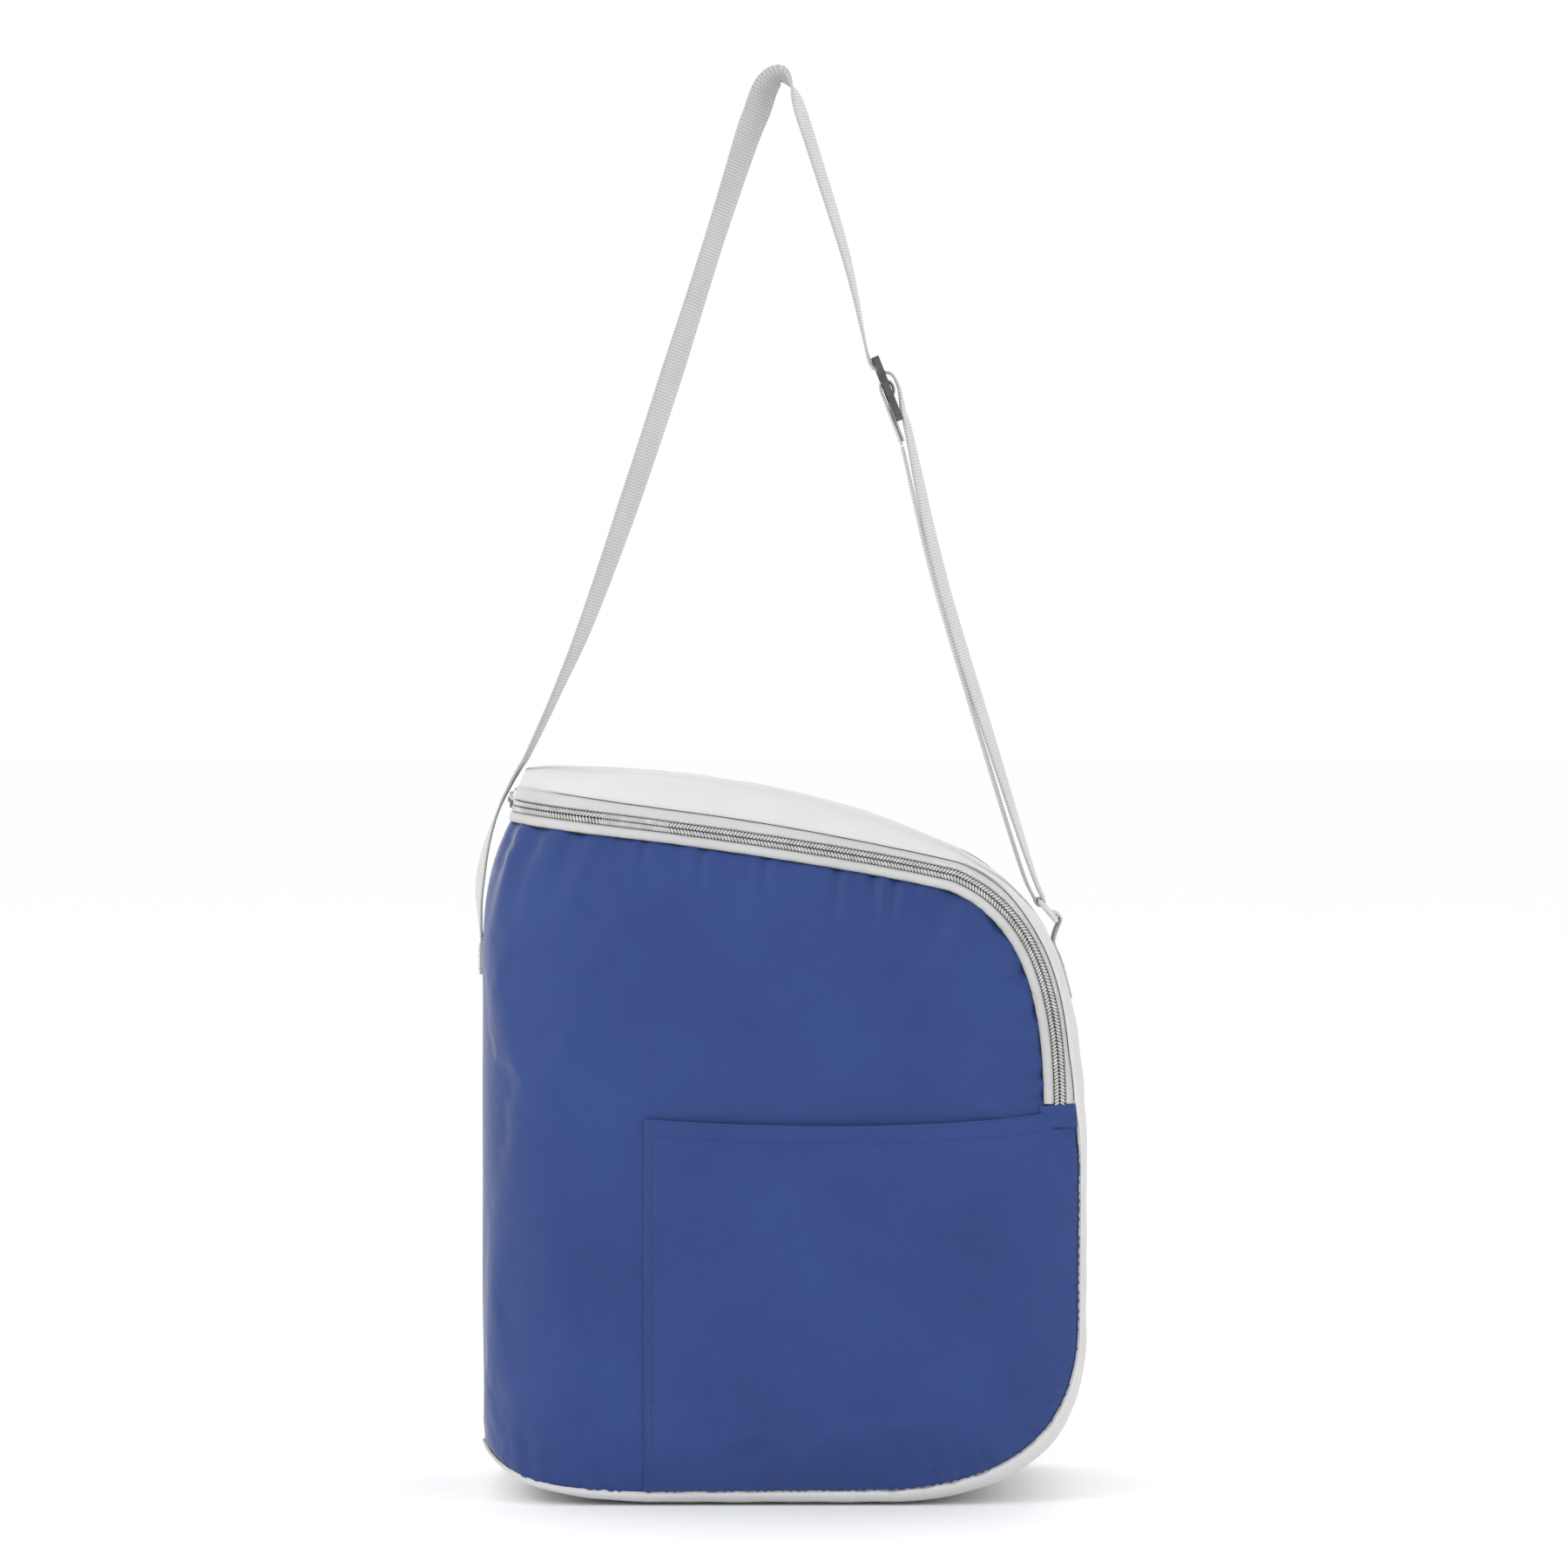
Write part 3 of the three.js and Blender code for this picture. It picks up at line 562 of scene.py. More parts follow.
WRAP_FOLDS = [
    (-63, 291, -64, 274, 1.8, 1.1), (-35, 286, -37, 264, 2.0, 1.2), (-8, 281, -8, 260, 1.9, 1.0),
    (23, 277, 22, 254, 2.1, 1.3), (38.5, 274, 40, 250, 1.9, 1.1), (48, 271, 45, 250, 2.1, 1.4),
    (72, 264, 62, 242, 4.2, 1.3), (92, 252, 70, 226, 5.0, 1.5), (105.5, 233, 86, 222, 2.0, 1.6),
    (110, 214, 90, 209, 3.2, 1.0), (112.3, 187, 96, 183, 1.8, 1.3), (112, 178, 98, 171, 2.0, 0.8),
    (-100, 293, -104, 254, 4.2, 1.4), (-120, 294, -122, 240, 5.0, 1.5), (-140, 294, -141, 250, 4.6, 1.2),
    (-78, 9, -80, 30, 2.8, 1.0), (-112, 16, -113, 38, 3.0, 1.0), (-172, 294, -171, 262, 4.0, 1.0),
]


def bulge(points, gap, along):
    """How far the padded wall stands out at unrolled places, with its seams drawn in."""
    s = points[..., 0]
    height = 4.4 * ease(-125, -60, s) + 1.2
    puff = height * (1 - np.exp(-gap / 15.0)) + 0.9 * (1 - np.exp(-gap / 2.2)) - 1.3
    puff += 0.9 * ease(210, 60, points[..., 1]) * ease(0, 60, gap) * ease(-120, -60, s)
    gathers = 0.42 * np.exp(-gap / 6.0) * ripple(along, 5, 9.0)
    return puff + gathers + 0.25 * ripple(s + 0.6 * points[..., 1], 8, 90.0) * ease(4, 40, gap)


def both_sides(near):
    """A near-side grid and its mirror as one grid across the rear, front edge to front edge."""
    far = near[:, 1:].copy()
    far[..., 0] = 2 * MIDDLE_S - far[..., 0]
    return np.concatenate([near[:, ::-1], far], axis=1)


ROWS, HALF_COLUMNS = ((150, 190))
COARSE_ROWS, COARSE_COLUMNS = 62, 80


def upsampled(values, rows, columns):
    """A grid of numbers at another size, read between its own points."""
    r0, c0 = values.shape
    down = np.stack([np.interp(np.linspace(0, r0 - 1, rows), np.arange(r0), values[:, j])
                     for j in range(c0)], axis=1)
    return np.stack([np.interp(np.linspace(0, c0 - 1, columns), np.arange(c0), down[i])
                     for i in range(rows)], axis=0)


coarse = wrap_patch(COARSE_ROWS, COARSE_COLUMNS)
coarse_gap, coarse_along = nearest(coarse, NEAR_SEAM)
start = both_sides(coarse)
start_lift = bulge(coarse, coarse_gap, coarse_along)
start_lift = np.concatenate([start_lift[:, ::-1], start_lift[:, 1:]], axis=1)
rest_points = wall(start[..., 0], start[..., 1], start_lift)
held_gap = np.concatenate([coarse_gap[:, ::-1], coarse_gap[:, 1:]], axis=1)
blown = inflated(rest_points, np.where(held_gap < 1.5, 1.0, 0.0), 4.0, 0.6, 0.004)
outward = wall(start[..., 0], start[..., 1], start_lift + 1) - rest_points
swell = ((blown - rest_points) * outward).sum(axis=2)
print("cloth swell", round(float(swell.min()), 2), round(float(swell.max()), 2))
swell = np.clip(swell, -0.4, 3.5)
near_swell = swell[:, :COARSE_COLUMNS][:, ::-1]


# ------------------------------------------------------------------ the blue wrap

near = wrap_patch(ROWS, HALF_COLUMNS)
near_gap, near_along = nearest(near, NEAR_SEAM)
folds = creases(near, WRAP_FOLDS)
base_lift = bulge(near, near_gap, near_along)
near_lift = base_lift + folds + upsampled(near_swell, ROWS, HALF_COLUMNS)
far_lift = base_lift + 0.8 * folds + upsampled(swell[:, COARSE_COLUMNS - 1:], ROWS, HALF_COLUMNS)
wrap_at = both_sides(near)
wrap_lift = np.concatenate([near_lift[:, ::-1], far_lift[:, 1:]], axis=1)


def wall_slab(name, at, outer, inner, material):
    """A closed layer of the wall between two lifts over the same unrolled places."""
    return slab(name, wall(at[..., 0], at[..., 1], outer), wall(at[..., 0], at[..., 1], inner), material, at)


wrap = wall_slab("outer_wrap_cloth", wrap_at, wrap_lift, np.minimum(wrap_lift - 0.7, -0.2), BLUE)
settle(wrap, replaces=["outer_wrap"], body="bag", slot="blue_fabric")

inner_at = both_sides(wrap_patch(40, 60))
foam = wall_slab("wrap_foam_layer", inner_at, -FOAM_DEPTHS[0], -FOAM_DEPTHS[1], FOAM)
settle(foam, replaces=["wrap_foam"], body="bag", slot="foam")
lining_lift = -LINER_DEPTH + 0.5 * ripple(inner_at[..., 0] + inner_at[..., 1], 3, 40)
lining = wall_slab("lining_wall", inner_at, lining_lift, lining_lift - 0.4, LINING)
settle(lining, replaces=["body_liner"], body="bag", slot="liner")


# ------------------------------------------------------------------ the grey strip and the lid

def reach(points, normals, outline):
    """How far each point is from an outline along its own normal."""
    a, b = outline[:-1], outline[1:]
    d = b - a
    found = []
    for p, n in zip(points, normals):
        cross = n[0] * d[:, 1] - n[1] * d[:, 0]
        cross = np.where(np.abs(cross) < 1e-9, 1e-9, cross)
        ap = a - p
        t = (ap[:, 0] * d[:, 1] - ap[:, 1] * d[:, 0]) / cross
        u = (ap[:, 0] * n[1] - ap[:, 1] * n[0]) / cross
        hits = t[(u >= -0.02) & (u <= 1.02) & (t > -1.5) & (t < 25)]
        found.append(max(hits.min(), 0.2) if len(hits) else 0.2)
    return np.array(found)


TOP_EDGE = beside(ZIP_NEAR, band_edge(ZIP_NEAR))
TOP_EDGE = TOP_EDGE[TOP_EDGE[:, 0] > REAR_S]
STRIP_EDGE = spaced(chain(
    [(REAR_S, BASE_SEAM_Z)], unroll(SEAM_REAR), unroll(SEAM_FRONT),
    bezier((128, 150), (128, 162), (126.6, 166), TOP_EDGE[1], 12), TOP_EDGE[2:]), 330)
edge_points = wall(STRIP_EDGE[:, 0], STRIP_EDGE[:, 1])
side_path = edge_points[:, [0, 2]]
side_turn = tangents(side_path)
side_out = np.stack([side_turn[:, 1], -side_turn[:, 0]], axis=1)
crown = reach(side_path, side_out, SILHOUETTE)
crown = np.convolve(np.pad(crown, 4, mode="edge"), np.ones(9) / 9, mode="valid")
run = lengths(side_path)
crown *= 1 - (1 - np.clip(run / 12, 0, 1)) ** 2
crown *= 1 - (1 - np.clip((run[-1] - run) / 1.6, 0, 1)) ** 2


def strip_grid(inset=0.0):
    """The strip's rows across the bag, and their UVs: tucked in at the seams and round over the edges."""
    grid, uvs = [], []
    turn = np.linspace(0, math.pi / 2, 10)
    for k, (x, y, z) in enumerate(edge_points):
        half = -y
        radius = min(13 + 20 * float(ease(225, 292, z)), half * 0.8)
        waver = 0.25 * float(ripple(run[k], 12, 40))
        profile = [(half - 1.8, -0.9), (half - 0.7, 0.1), (half - 0.1, 0.35)]
        for a in turn:
            profile.append((half + 0.3 * math.cos(a) - radius * (1 - math.cos(a)),
                            0.6 + (crown[k] + waver - 0.6) * math.sin(a) ** 0.9))
        for share in (0.75, 0.5, 0.25):
            profile.append(((half - radius) * share, crown[k] + waver + 0.3 * (1 - share)))
        middle = [(0.0, crown[k] + waver + 0.3)]
        whole = [(-w, o) for w, o in profile] + middle + profile[::-1]
        nx, nz = side_out[k]
        row = [(x + nx * (o - inset), w * (1 - inset / HALF_THICKNESS), z + nz * (o - inset)) for w, o in whole]
        grid.append(row)
        uvs.append([(w, run[k]) for w, _ in whole])
    return np.array(grid), np.array(uvs)


outer_strip, strip_uvs = strip_grid()
cloth_under, _ = strip_grid(0.8)
gusset = slab("base_front_lid_cloth", outer_strip, cloth_under, GREY, strip_uvs)
settle(gusset, replaces=["base_front_gusset", "lid_panel"], slot="grey_fabric", fold=True)
foam_out, foam_in = strip_grid(FOAM_DEPTHS[0] + 0.4)[0], strip_grid(FOAM_DEPTHS[1])[0]
strip_foam = slab("base_front_lid_foam", foam_out, foam_in, FOAM, strip_uvs)
settle(strip_foam, replaces=["base_foam", "front_top_foam", "lid_foam"], slot="foam", fold=True)
lining_out, lining_in = strip_grid(LINER_DEPTH)[0], strip_grid(LINER_DEPTH + 0.5)[0]
strip_lining = slab("lining_base_and_lid", lining_out, lining_in, LINING, strip_uvs)
settle(strip_lining, replaces=["lid_liner"], slot="liner", fold=True)


# ------------------------------------------------------------------ bands, tape and zip

def along_zip(name, zip_line, profile, material, waves=None):
    """A closed strip beside the zip. The profile lists (offset, lift) round its cross-section."""
    sections = []
    for offset, lift in profile:
        place = beside(zip_line, offset)
        lift = lift + (waves(place, offset) if waves else 0)
        sections.append(wall(place[:, 0], place[:, 1], lift))
    sections = np.stack(sections, axis=1)
    along = lengths(zip_line)
    girth = np.linspace(0, 24, len(profile))
    uvs = np.stack(np.broadcast_arrays(along[:, None], girth[None]), axis=-1)
    return lofted(name, sections, material, uvs)


def bend_share(place):
    """1 where the zip turns down the front, fading out on either side."""
    s = np.where(place[:, 0] < MIDDLE_S, 2 * MIDDLE_S - place[:, 0], place[:, 0])
    return ease(64, 86, s) * ease(196, 214, place[:, 1])


def binding_waves(place, offset):
    at = lengths(place)
    near_cloth = ease(-3, -6, offset)
    gathered = 0.5 * ripple(at + 1.2 * offset, 21, 5.0) * bend_share(place) * near_cloth
    return gathered + 0.18 * ripple(at, 22, 24) + 0.12 * ripple(at, 25, 7) * near_cloth


def band_waves(place, offset):
    at = lengths(place)
    return 0.22 * ripple(at + 0.5 * offset, 31, 30) + 0.16 * ripple(at - offset, 32, 8) * bend_share(place)


binding_profile = [(-2.65, -1.4), (-2.55, -0.2), (-2.9, 0.5), (-3.6, 0.85), (-4.8, 1.05), (-5.8, 0.95),
                   (-6.5, 0.45), (-6.95, -0.5), (-6.9, -1.9), (-5.5, -6.4), (-3.4, -6.7), (-2.7, -6.0)]
binding = along_zip("lower_zip_binding_cloth", ZIP_ALL, binding_profile, BINDING, binding_waves)
settle(binding, replaces=["lower_zip_binding"], body="bag", slot="light_grey_binding")

edge_all = band_edge(ZIP_ALL)
band_profile = [(2.65 + 0 * edge_all, -1.4), (2.55 + 0 * edge_all, -0.1), (2.95 + 0 * edge_all, 0.45),
                (3.3 + 0 * edge_all, 0.6), (3.3 + 0.45 * (edge_all - 3.3), 0.7), (edge_all - 0.9, 0.6),
                (edge_all - 0.25, 0.05), (edge_all + 0.1, -1.0), (edge_all - 0.2, -2.2),
                (0.5 * edge_all + 1.7, -6.4), (3.3 + 0 * edge_all, -6.6), (2.7 + 0 * edge_all, -6.0)]
band = along_zip("upper_zip_band_cloth", ZIP_ALL, band_profile, BINDING,
                 lambda place, offset: band_waves(place, np.mean(offset)))
settle(band, replaces=["upper_band_front_near", "upper_band_front_far", "lid_band"],
       slot="light_grey_binding", fold=True)

ZIP_REAR_END = 2 * MIDDLE_S - (REAR_S - 11.5)  # unrolled, on the far half of the rear
zipped = ZIP_ALL[ZIP_ALL[:, 0] > ZIP_REAR_END]
hinged = mirrored(ZIP_NEAR)[::-1]
hinged = hinged[(hinged[:, 0] < ZIP_REAR_END - 2)]


def tape_profile(side):
    return [(side * o, lift) for o, lift in ((0.12, -0.55), (2.9, -0.5), (2.9, -1.2), (0.12, -1.2))]


# The tape's dark grey is painted shade between the coil rows.
lower_tape = along_zip("lower_zip_tape_cloth", zipped, tape_profile(-1), TAPE_PAINTED_SHADE)
settle(lower_tape, replaces=["lower_zip_tape"], body="bag", slot="zip_tape")
upper_tape = along_zip("upper_zip_tape_cloth", zipped, tape_profile(1), TAPE_PAINTED_SHADE)
settle(upper_tape, replaces=["upper_zip_tape_front", "upper_zip_tape_lid"], slot="zip_tape", fold=True)
hinge = along_zip("hinge_tape_cloth", hinged,
                  [(-2.7, -0.6), (-1.5, -0.1), (0, 0.15), (1.5, -0.1), (2.7, -0.6), (2.7, -1.3), (-2.7, -1.3)],
                  BINDING)
settle(hinge, replaces=["hinge_tape"], body="bag", slot="light_grey_binding")


def seam_shade_strip(name, places, depth, half, body="bag", slot="grey_fabric", fold=False):
    """A dark strip in the crevice of a seam, between the two cloths that it joins: painted shade."""
    obj = along_zip(name, places, [(-half, depth), (0, depth + 0.1), (half, depth), (half, depth - 0.8),
                                   (-half, depth - 0.8)], SEAM_SHADE)
    settle(obj, body=body, slot=slot, fold=fold)


ZIP_SPAN = slice(1, -1)
# Dark strips in the crevices of the zip's seams and the wrap's lower seam: painted shade.
seam_shade_strip("band_seam_shade", beside(ZIP_ALL, edge_all + 0.35)[ZIP_SPAN], -0.45, 0.5, fold=True)
seam_shade_strip("wrap_top_seam_shade", beside(ZIP_ALL, BINDING_EDGE - 0.15)[ZIP_SPAN], -0.55, 0.42)
low_seam = spaced(NEAR_SEAM[NEAR_SEAM[:, 1] < 166][:int(LOW_CORNER + 70)], 240)
low_seam = low_seam[low_seam[:, 1] < 163]
seam_shade_strip("wrap_low_seam_shade", chain(low_seam[::-1], mirrored(low_seam)), -0.7, 0.42)


def beads(name, centres, axes, ups, half, radius, material, sides=6, rings=5):
    """Many small capsules in one mesh: each has a centre, an axis and an up direction."""
    angles = np.linspace(0, 2 * math.pi, sides, endpoint=False)
    steps = np.linspace(-math.pi / 2 * 0.86, math.pi / 2 * 0.86, rings)
    vertices, faces, uvs = [], [], []
    for c, axis, up in zip(centres, axes, ups):
        axis = axis / np.linalg.norm(axis)
        side = np.cross(axis, up)
        side /= np.linalg.norm(side)
        up = np.cross(side, axis)
        first = len(vertices)
        for a in steps:
            for b in angles:
                ring = radius * math.cos(a)
                vertices.append(c + axis * half * math.sin(a) + side * ring * math.cos(b) + up * ring * math.sin(b))
                uvs.append((vertices[-1][0], vertices[-1][2]))
        for i in range(rings - 1):
            for j in range(sides):
                k = first + i * sides
                faces.append((k + j, k + (j + 1) % sides, k + sides + (j + 1) % sides, k + sides + j))
        faces.append([first + j for j in range(sides)][::-1])
        faces.append([first + (rings - 1) * sides + j for j in range(sides)])
    return make(name, vertices, faces, material, uvs)


TOOTH_PITCH = 1.45


def tooth_row(name, side, slant):
    """One row of the zip's coil, as slanted loops side by side."""
    middle = beside(zipped, side * 1.22)
    count = int(lengths(middle)[-1] / TOOTH_PITCH)
    at = spaced(middle, count)
    turn = tangents(at)
    out = np.stack([turn[:, 1], -turn[:, 0]], axis=1)
    lean = turn * math.sin(slant) + out * math.cos(slant)
    a = wall(*(at - lean).T, 0.55)
    b = wall(*(at + lean).T, 0.55)
    centres = wall(*at.T, 0.42)
    normals = wall(*at.T, 1.42) - centres
    return beads(name, centres, b - a, normals, 1.35, 0.62, TEETH)


lower_teeth = tooth_row("lower_zip_coil", -1, 0.62)
settle(lower_teeth, replaces=["lower_zip_teeth"], body="bag", slot="zip_teeth")
upper_teeth = tooth_row("upper_zip_coil", 1, -0.62)
settle(upper_teeth, replaces=["upper_zip_teeth_front", "upper_zip_teeth_lid"], slot="zip_teeth", fold=True)


# ------------------------------------------------------------------ the pocket

POCKET_SEAM = chain(
    line((POCKET_LEFT, 6.2), (44, 7.0), 30),
    bezier((44, 7.0), (106, 9.5), (124.6, 40), (126.4, 75), 40),
    line((126.4, 75), (126.6, 150), 20),
    line((126.6, 150), (125.6, 171.8), 8),
)
POCKET_CORNER = int(np.linalg.norm(POCKET_SEAM - (106, 21), axis=1).argmin())
POCKET_TOP = bezier((POCKET_LEFT, 167.6), (5, 163.2), (75, 163.4), (125.6, 171.8), 60)
POCKET_ROWS, POCKET_COLUMNS = ((120, 140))
pocket_at = coons(POCKET_SEAM[:POCKET_CORNER + 1], POCKET_SEAM[POCKET_CORNER:], POCKET_TOP,
                  line((POCKET_LEFT, 6.2), (POCKET_LEFT, 167.6), 20), POCKET_ROWS, POCKET_COLUMNS)
POCKET_FOLDS = [
    (40, 7, 38, 26, 2.6, 1.0), (54, 8, 50, 34, 3.2, 1.2), (67, 9, 62, 30, 2.4, 1.1), (79, 11, 71, 38, 3.0, 1.4),
    (90, 14, 81, 33, 2.2, 1.0), (114, 30, 96, 40, 2.8, 1.2), (119, 40, 100, 44, 2.2, 1.3),
    (122, 47, 104, 48, 2.4, 0.9), (125, 96, 108, 98, 2.8, 0.7), (-20, 6, -22, 24, 3.0, 0.6),
]
seam_gap, seam_along = nearest(pocket_at, NEAR_SEAM)
top_gap, _ = nearest(pocket_at, POCKET_TOP)
left_gap = pocket_at[..., 0] - POCKET_LEFT


def near_lift_at(points):
    """The wrap's own lift under unrolled places on the near face."""
    tree = KDTree(near.shape[0] * near.shape[1])
    flat = near.reshape(-1, 2)
    for k, (s, z) in enumerate(flat):
        tree.insert((s, z, 0), k)
    tree.balance()
    lifts = near_lift.ravel()
    found = []
    for s, z in points.reshape(-1, 2):
        close = tree.find_n((s, z, 0), 4)
        weights = [1 / (distance + 0.05) for _, _, distance in close]
        found.append(sum(w * lifts[k] for w, (_, k, _) in zip(weights, close)) / sum(weights))
    return np.array(found).reshape(points.shape[:-1])


share_across = np.clip((pocket_at[..., 0] - POCKET_LEFT) / (125 - POCKET_LEFT), 0, 1)
stand_off = 0.75 * (1 - np.exp(-seam_gap / 3)) + 0.35
stand_off += 1.9 * np.sin(math.pi * share_across) ** 0.8 * ease(75, 0, top_gap)
stand_off += 0.5 * ease(0, 18, left_gap) * (1 - np.exp(-seam_gap / 14))
stand_off *= 0.55 + 0.45 * ease(0, 5, left_gap)
pocket_lift = near_lift_at(pocket_at) + stand_off + creases(pocket_at, POCKET_FOLDS)
pocket_lift += 0.3 * ripple(pocket_at[..., 0] * 0.9 + pocket_at[..., 1] * 0.5, 41, 70) * ease(3, 30, seam_gap)
HEM = 8.2
TOP_STITCH = 6.9
groove = np.exp(-((top_gap - TOP_STITCH) / 0.7) ** 2) * 0.35
pocket_lift += 0.45 * ease(HEM + 0.8, HEM - 0.6, top_gap) - groove
pocket_lift -= 0.3 * np.exp(-((left_gap - 2.6) / 0.6) ** 2) * ease(0, 4, top_gap)
pocket_lift += 0.35 * ease(4.6, 3.4, left_gap)
pocket_lift = np.maximum(pocket_lift, near_lift_at(pocket_at) + 0.35)
pocket = wall_slab("pocket_panel_cloth", pocket_at, pocket_lift + 0.35, pocket_lift - 0.25, BLUE)
settle(pocket, replaces=["pocket_panel"], body="bag", slot="blue_fabric")


def pocket_lift_at(places):
    """The pocket's outer lift at unrolled places."""
    flat = pocket_at.reshape(-1, 2)
    lifts = pocket_lift.ravel() + 0.35
    return np.array([lifts[np.argmin(((flat - p) ** 2).sum(axis=1))] for p in places])


def fold_roll(name, places, radius, drop):
    """The rolled edge of a hem: a thin soft roll along unrolled places."""
    lift = pocket_lift_at(places)
    turn = np.linspace(0, 2 * math.pi, 9)[:-1]
    direction = tangents(places)
    side = np.stack([direction[:, 1], -direction[:, 0]], axis=1)
    sections = np.stack([
        wall(*(places + side * (radius * 1.1 * math.cos(a))).T, lift - drop + radius * math.sin(a)) for a in turn
    ], axis=1)
    along = lengths(places)
    uvs = np.stack(np.broadcast_arrays(along[:, None], np.linspace(0, 5, 8)[None]), axis=-1)
    return lofted(name, sections, BLUE, uvs)


top_hem = fold_roll("pocket_top_hem_roll", spaced(POCKET_TOP + (0.0, -0.1), 120), 0.75, 0.7)
settle(top_hem, replaces=["pocket_top_hem"], body="bag", slot="blue_fabric")
side_hem = fold_roll("pocket_side_hem_roll", line((POCKET_LEFT + 0.2, 6.8), (POCKET_LEFT + 0.2, 167.2), 110), 0.6, 0.4)
settle(side_hem, replaces=["pocket_side_hem"], body="bag", slot="blue_fabric")


def stitches(name, places, lift, pitch, share, radius, material, body="bag", slot="blue_fabric", fold=False):
    """A row of stitches along unrolled places: each is a small thread capsule, sunk at its ends."""
    count = max(2, int(lengths(places)[-1] / pitch))
    at = spaced(places, count + 1)
    level = np.interp(lengths(at), lengths(places), lift)
    middle = (at[:-1] + at[1:]) / 2
    lifts = (level[:-1] + level[1:]) / 2
    centres = wall(*middle.T, lifts)
    axes = wall(*at[1:].T, level[1:]) - wall(*at[:-1].T, level[:-1])
    normals = wall(*middle.T, lifts + 1) - centres
    obj = beads(name, centres, axes, normals, pitch * share / 2, radius, material)
    settle(obj, body=body, slot=slot, fold=fold)
    return obj


hem_line = spaced(POCKET_TOP + (0.0, -TOP_STITCH), 80)[1:-1]
stitches("pocket_top_stitches", hem_line, pocket_lift_at(hem_line) + 0.12, 4.3, 0.74, 0.3, THREAD_BLUE)
side_line = line((POCKET_LEFT + 2.6, 9), (POCKET_LEFT + 2.6, 161), 90)
stitches("pocket_side_stitches", side_line, pocket_lift_at(side_line) + 0.12, 4.3, 0.74, 0.3, THREAD_BLUE)
upper_line = beside(zipped, 3.35)
stitches("upper_band_stitches", upper_line, 0.62 + 0 * upper_line[:, 0], 2.3, 0.6, 0.2, THREAD_GREY,
         slot="light_grey_binding", fold=True)

# The blue tab folded over the zip's lower end, which joins the wrap to the strip's seam
tab_at = coons(line((108.5, 164), (126.8, 164.5), 12), line((126.8, 164.5), (126.1, 174.4), 8),
               line((110.5, 173.6), (126.1, 174.4), 12), line((108.5, 164), (110.5, 173.6), 8), 26, 40)
tab_edge, _ = nearest(tab_at, line((110.5, 173.6), (126.1, 174.4), 40))
tab_lift = (1.45 + 0.25 * (1 - np.exp(-tab_edge / 1.2)) - 0.5 * ease(2.6, 0, np.abs(tab_edge - 5.2))
            - 1.3 * ease(124.6, 126.6, tab_at[..., 0]) - 1.2 * ease(112, 108.5, tab_at[..., 0])
            + 0.15 * ripple(tab_at[..., 0], 51, 7))
end_tab = wall_slab("zip_end_tab_cloth", tab_at, tab_lift, tab_lift - 0.9, BLUE)
settle(end_tab, replaces=["zip_end_tab_near"], body="bag", slot="blue_fabric")
rear_tab_at = coons(line((ZIP_REAR_END + 1, 297.5), (ZIP_REAR_END - 8, 297.5), 6),
                    line((ZIP_REAR_END - 8, 297.5), (ZIP_REAR_END - 8, 308), 6),
                    line((ZIP_REAR_END + 1, 308), (ZIP_REAR_END - 8, 308), 6),
                    line((ZIP_REAR_END + 1, 297.5), (ZIP_REAR_END + 1, 308), 6), 16, 16)
rear_tab_edge = np.minimum(np.abs(rear_tab_at[..., 1] - 297.5), np.abs(rear_tab_at[..., 1] - 308))
rear_tab_lift = 1.1 + 0.3 * (1 - np.exp(-rear_tab_edge / 1.2))
rear_tab = wall_slab("zip_end_tab_rear_cloth", rear_tab_at, rear_tab_lift, rear_tab_lift - 0.7, BLUE)
settle(rear_tab, replaces=["zip_end_tab_rear"], body="bag", slot="blue_fabric")


# ------------------------------------------------------------------ the shoulder strap

WEB = 1.25


def ribbon(name, route, turn, nodes, body="bag", thickness=WEB, count=120, slide=None):
    """Flat webbing along (X, Z) points. turn lists its twist in degrees at even steps of the route."""
    path = spline(route, count)
    along = lengths(path)
    twist = np.radians(np.interp(np.linspace(0, 1, count), np.linspace(0, 1, len(turn)), turn))
    twist = np.convolve(np.pad(twist, 4, mode="edge"), np.ones(9) / 9, mode="valid")
    t = tangents(path)
    normal = np.stack([t[:, 1], 0 * along, -t[:, 0]], axis=1)
    across = np.array([0, 1, 0]) * np.cos(twist)[:, None] + normal * np.sin(twist)[:, None]
    face = normal * np.cos(twist)[:, None] - np.array([0, 1, 0]) * np.sin(twist)[:, None]
    centre = np.stack([path[:, 0], 0 * along, path[:, 1]], axis=1)
    half, thick = WEB_WIDTH / 2, thickness / 2
    places = [(-half, -0.5), (-half * 0.94, -1), (-half * 0.5, -1), (0, -1), (half * 0.5, -1), (half * 0.94, -1),
              (half, -0.5), (half, 0.5), (half * 0.94, 1), (half * 0.5, 1), (0, 1), (-half * 0.5, 1),
              (-half * 0.94, 1), (-half, 0.5)]
    cup = 0.12 * ripple(along, len(name), 60)
    sections = np.stack([
        centre + across * w + face * (side * thick + cup * (1 - (w / half) ** 2))[:, None] for w, side in places
    ], axis=1)
    uvs = np.stack(np.broadcast_arrays(np.array([p[0] + 40 * (p[1] > 0) for p in places])[None],
                                       along[:, None]), axis=-1)
    obj = lofted(name, sections, WEBBING, uvs)
    settle(obj, replaces=nodes, body=body, slot="webbing", slide=slide)
    return obj


ADJUSTER_AT = np.array([45.4, 484.2])
ADJUSTER_TILT = 0.375
DOWN = np.array([math.sin(ADJUSTER_TILT), -math.cos(ADJUSTER_TILT)])
OUT = np.array([math.cos(ADJUSTER_TILT), math.sin(ADJUSTER_TILT)])


def at_adjuster(u, v):
    return tuple(ADJUSTER_AT + u * DOWN + v * OUT)


def metres(point):
    return (point[0] / 1000, 0, point[1] / 1000)


RING_UPPER = np.array([112.8, 258.4])
RING_LOWER = np.array([119.6, 250.6])
RING_TURN = 2.0

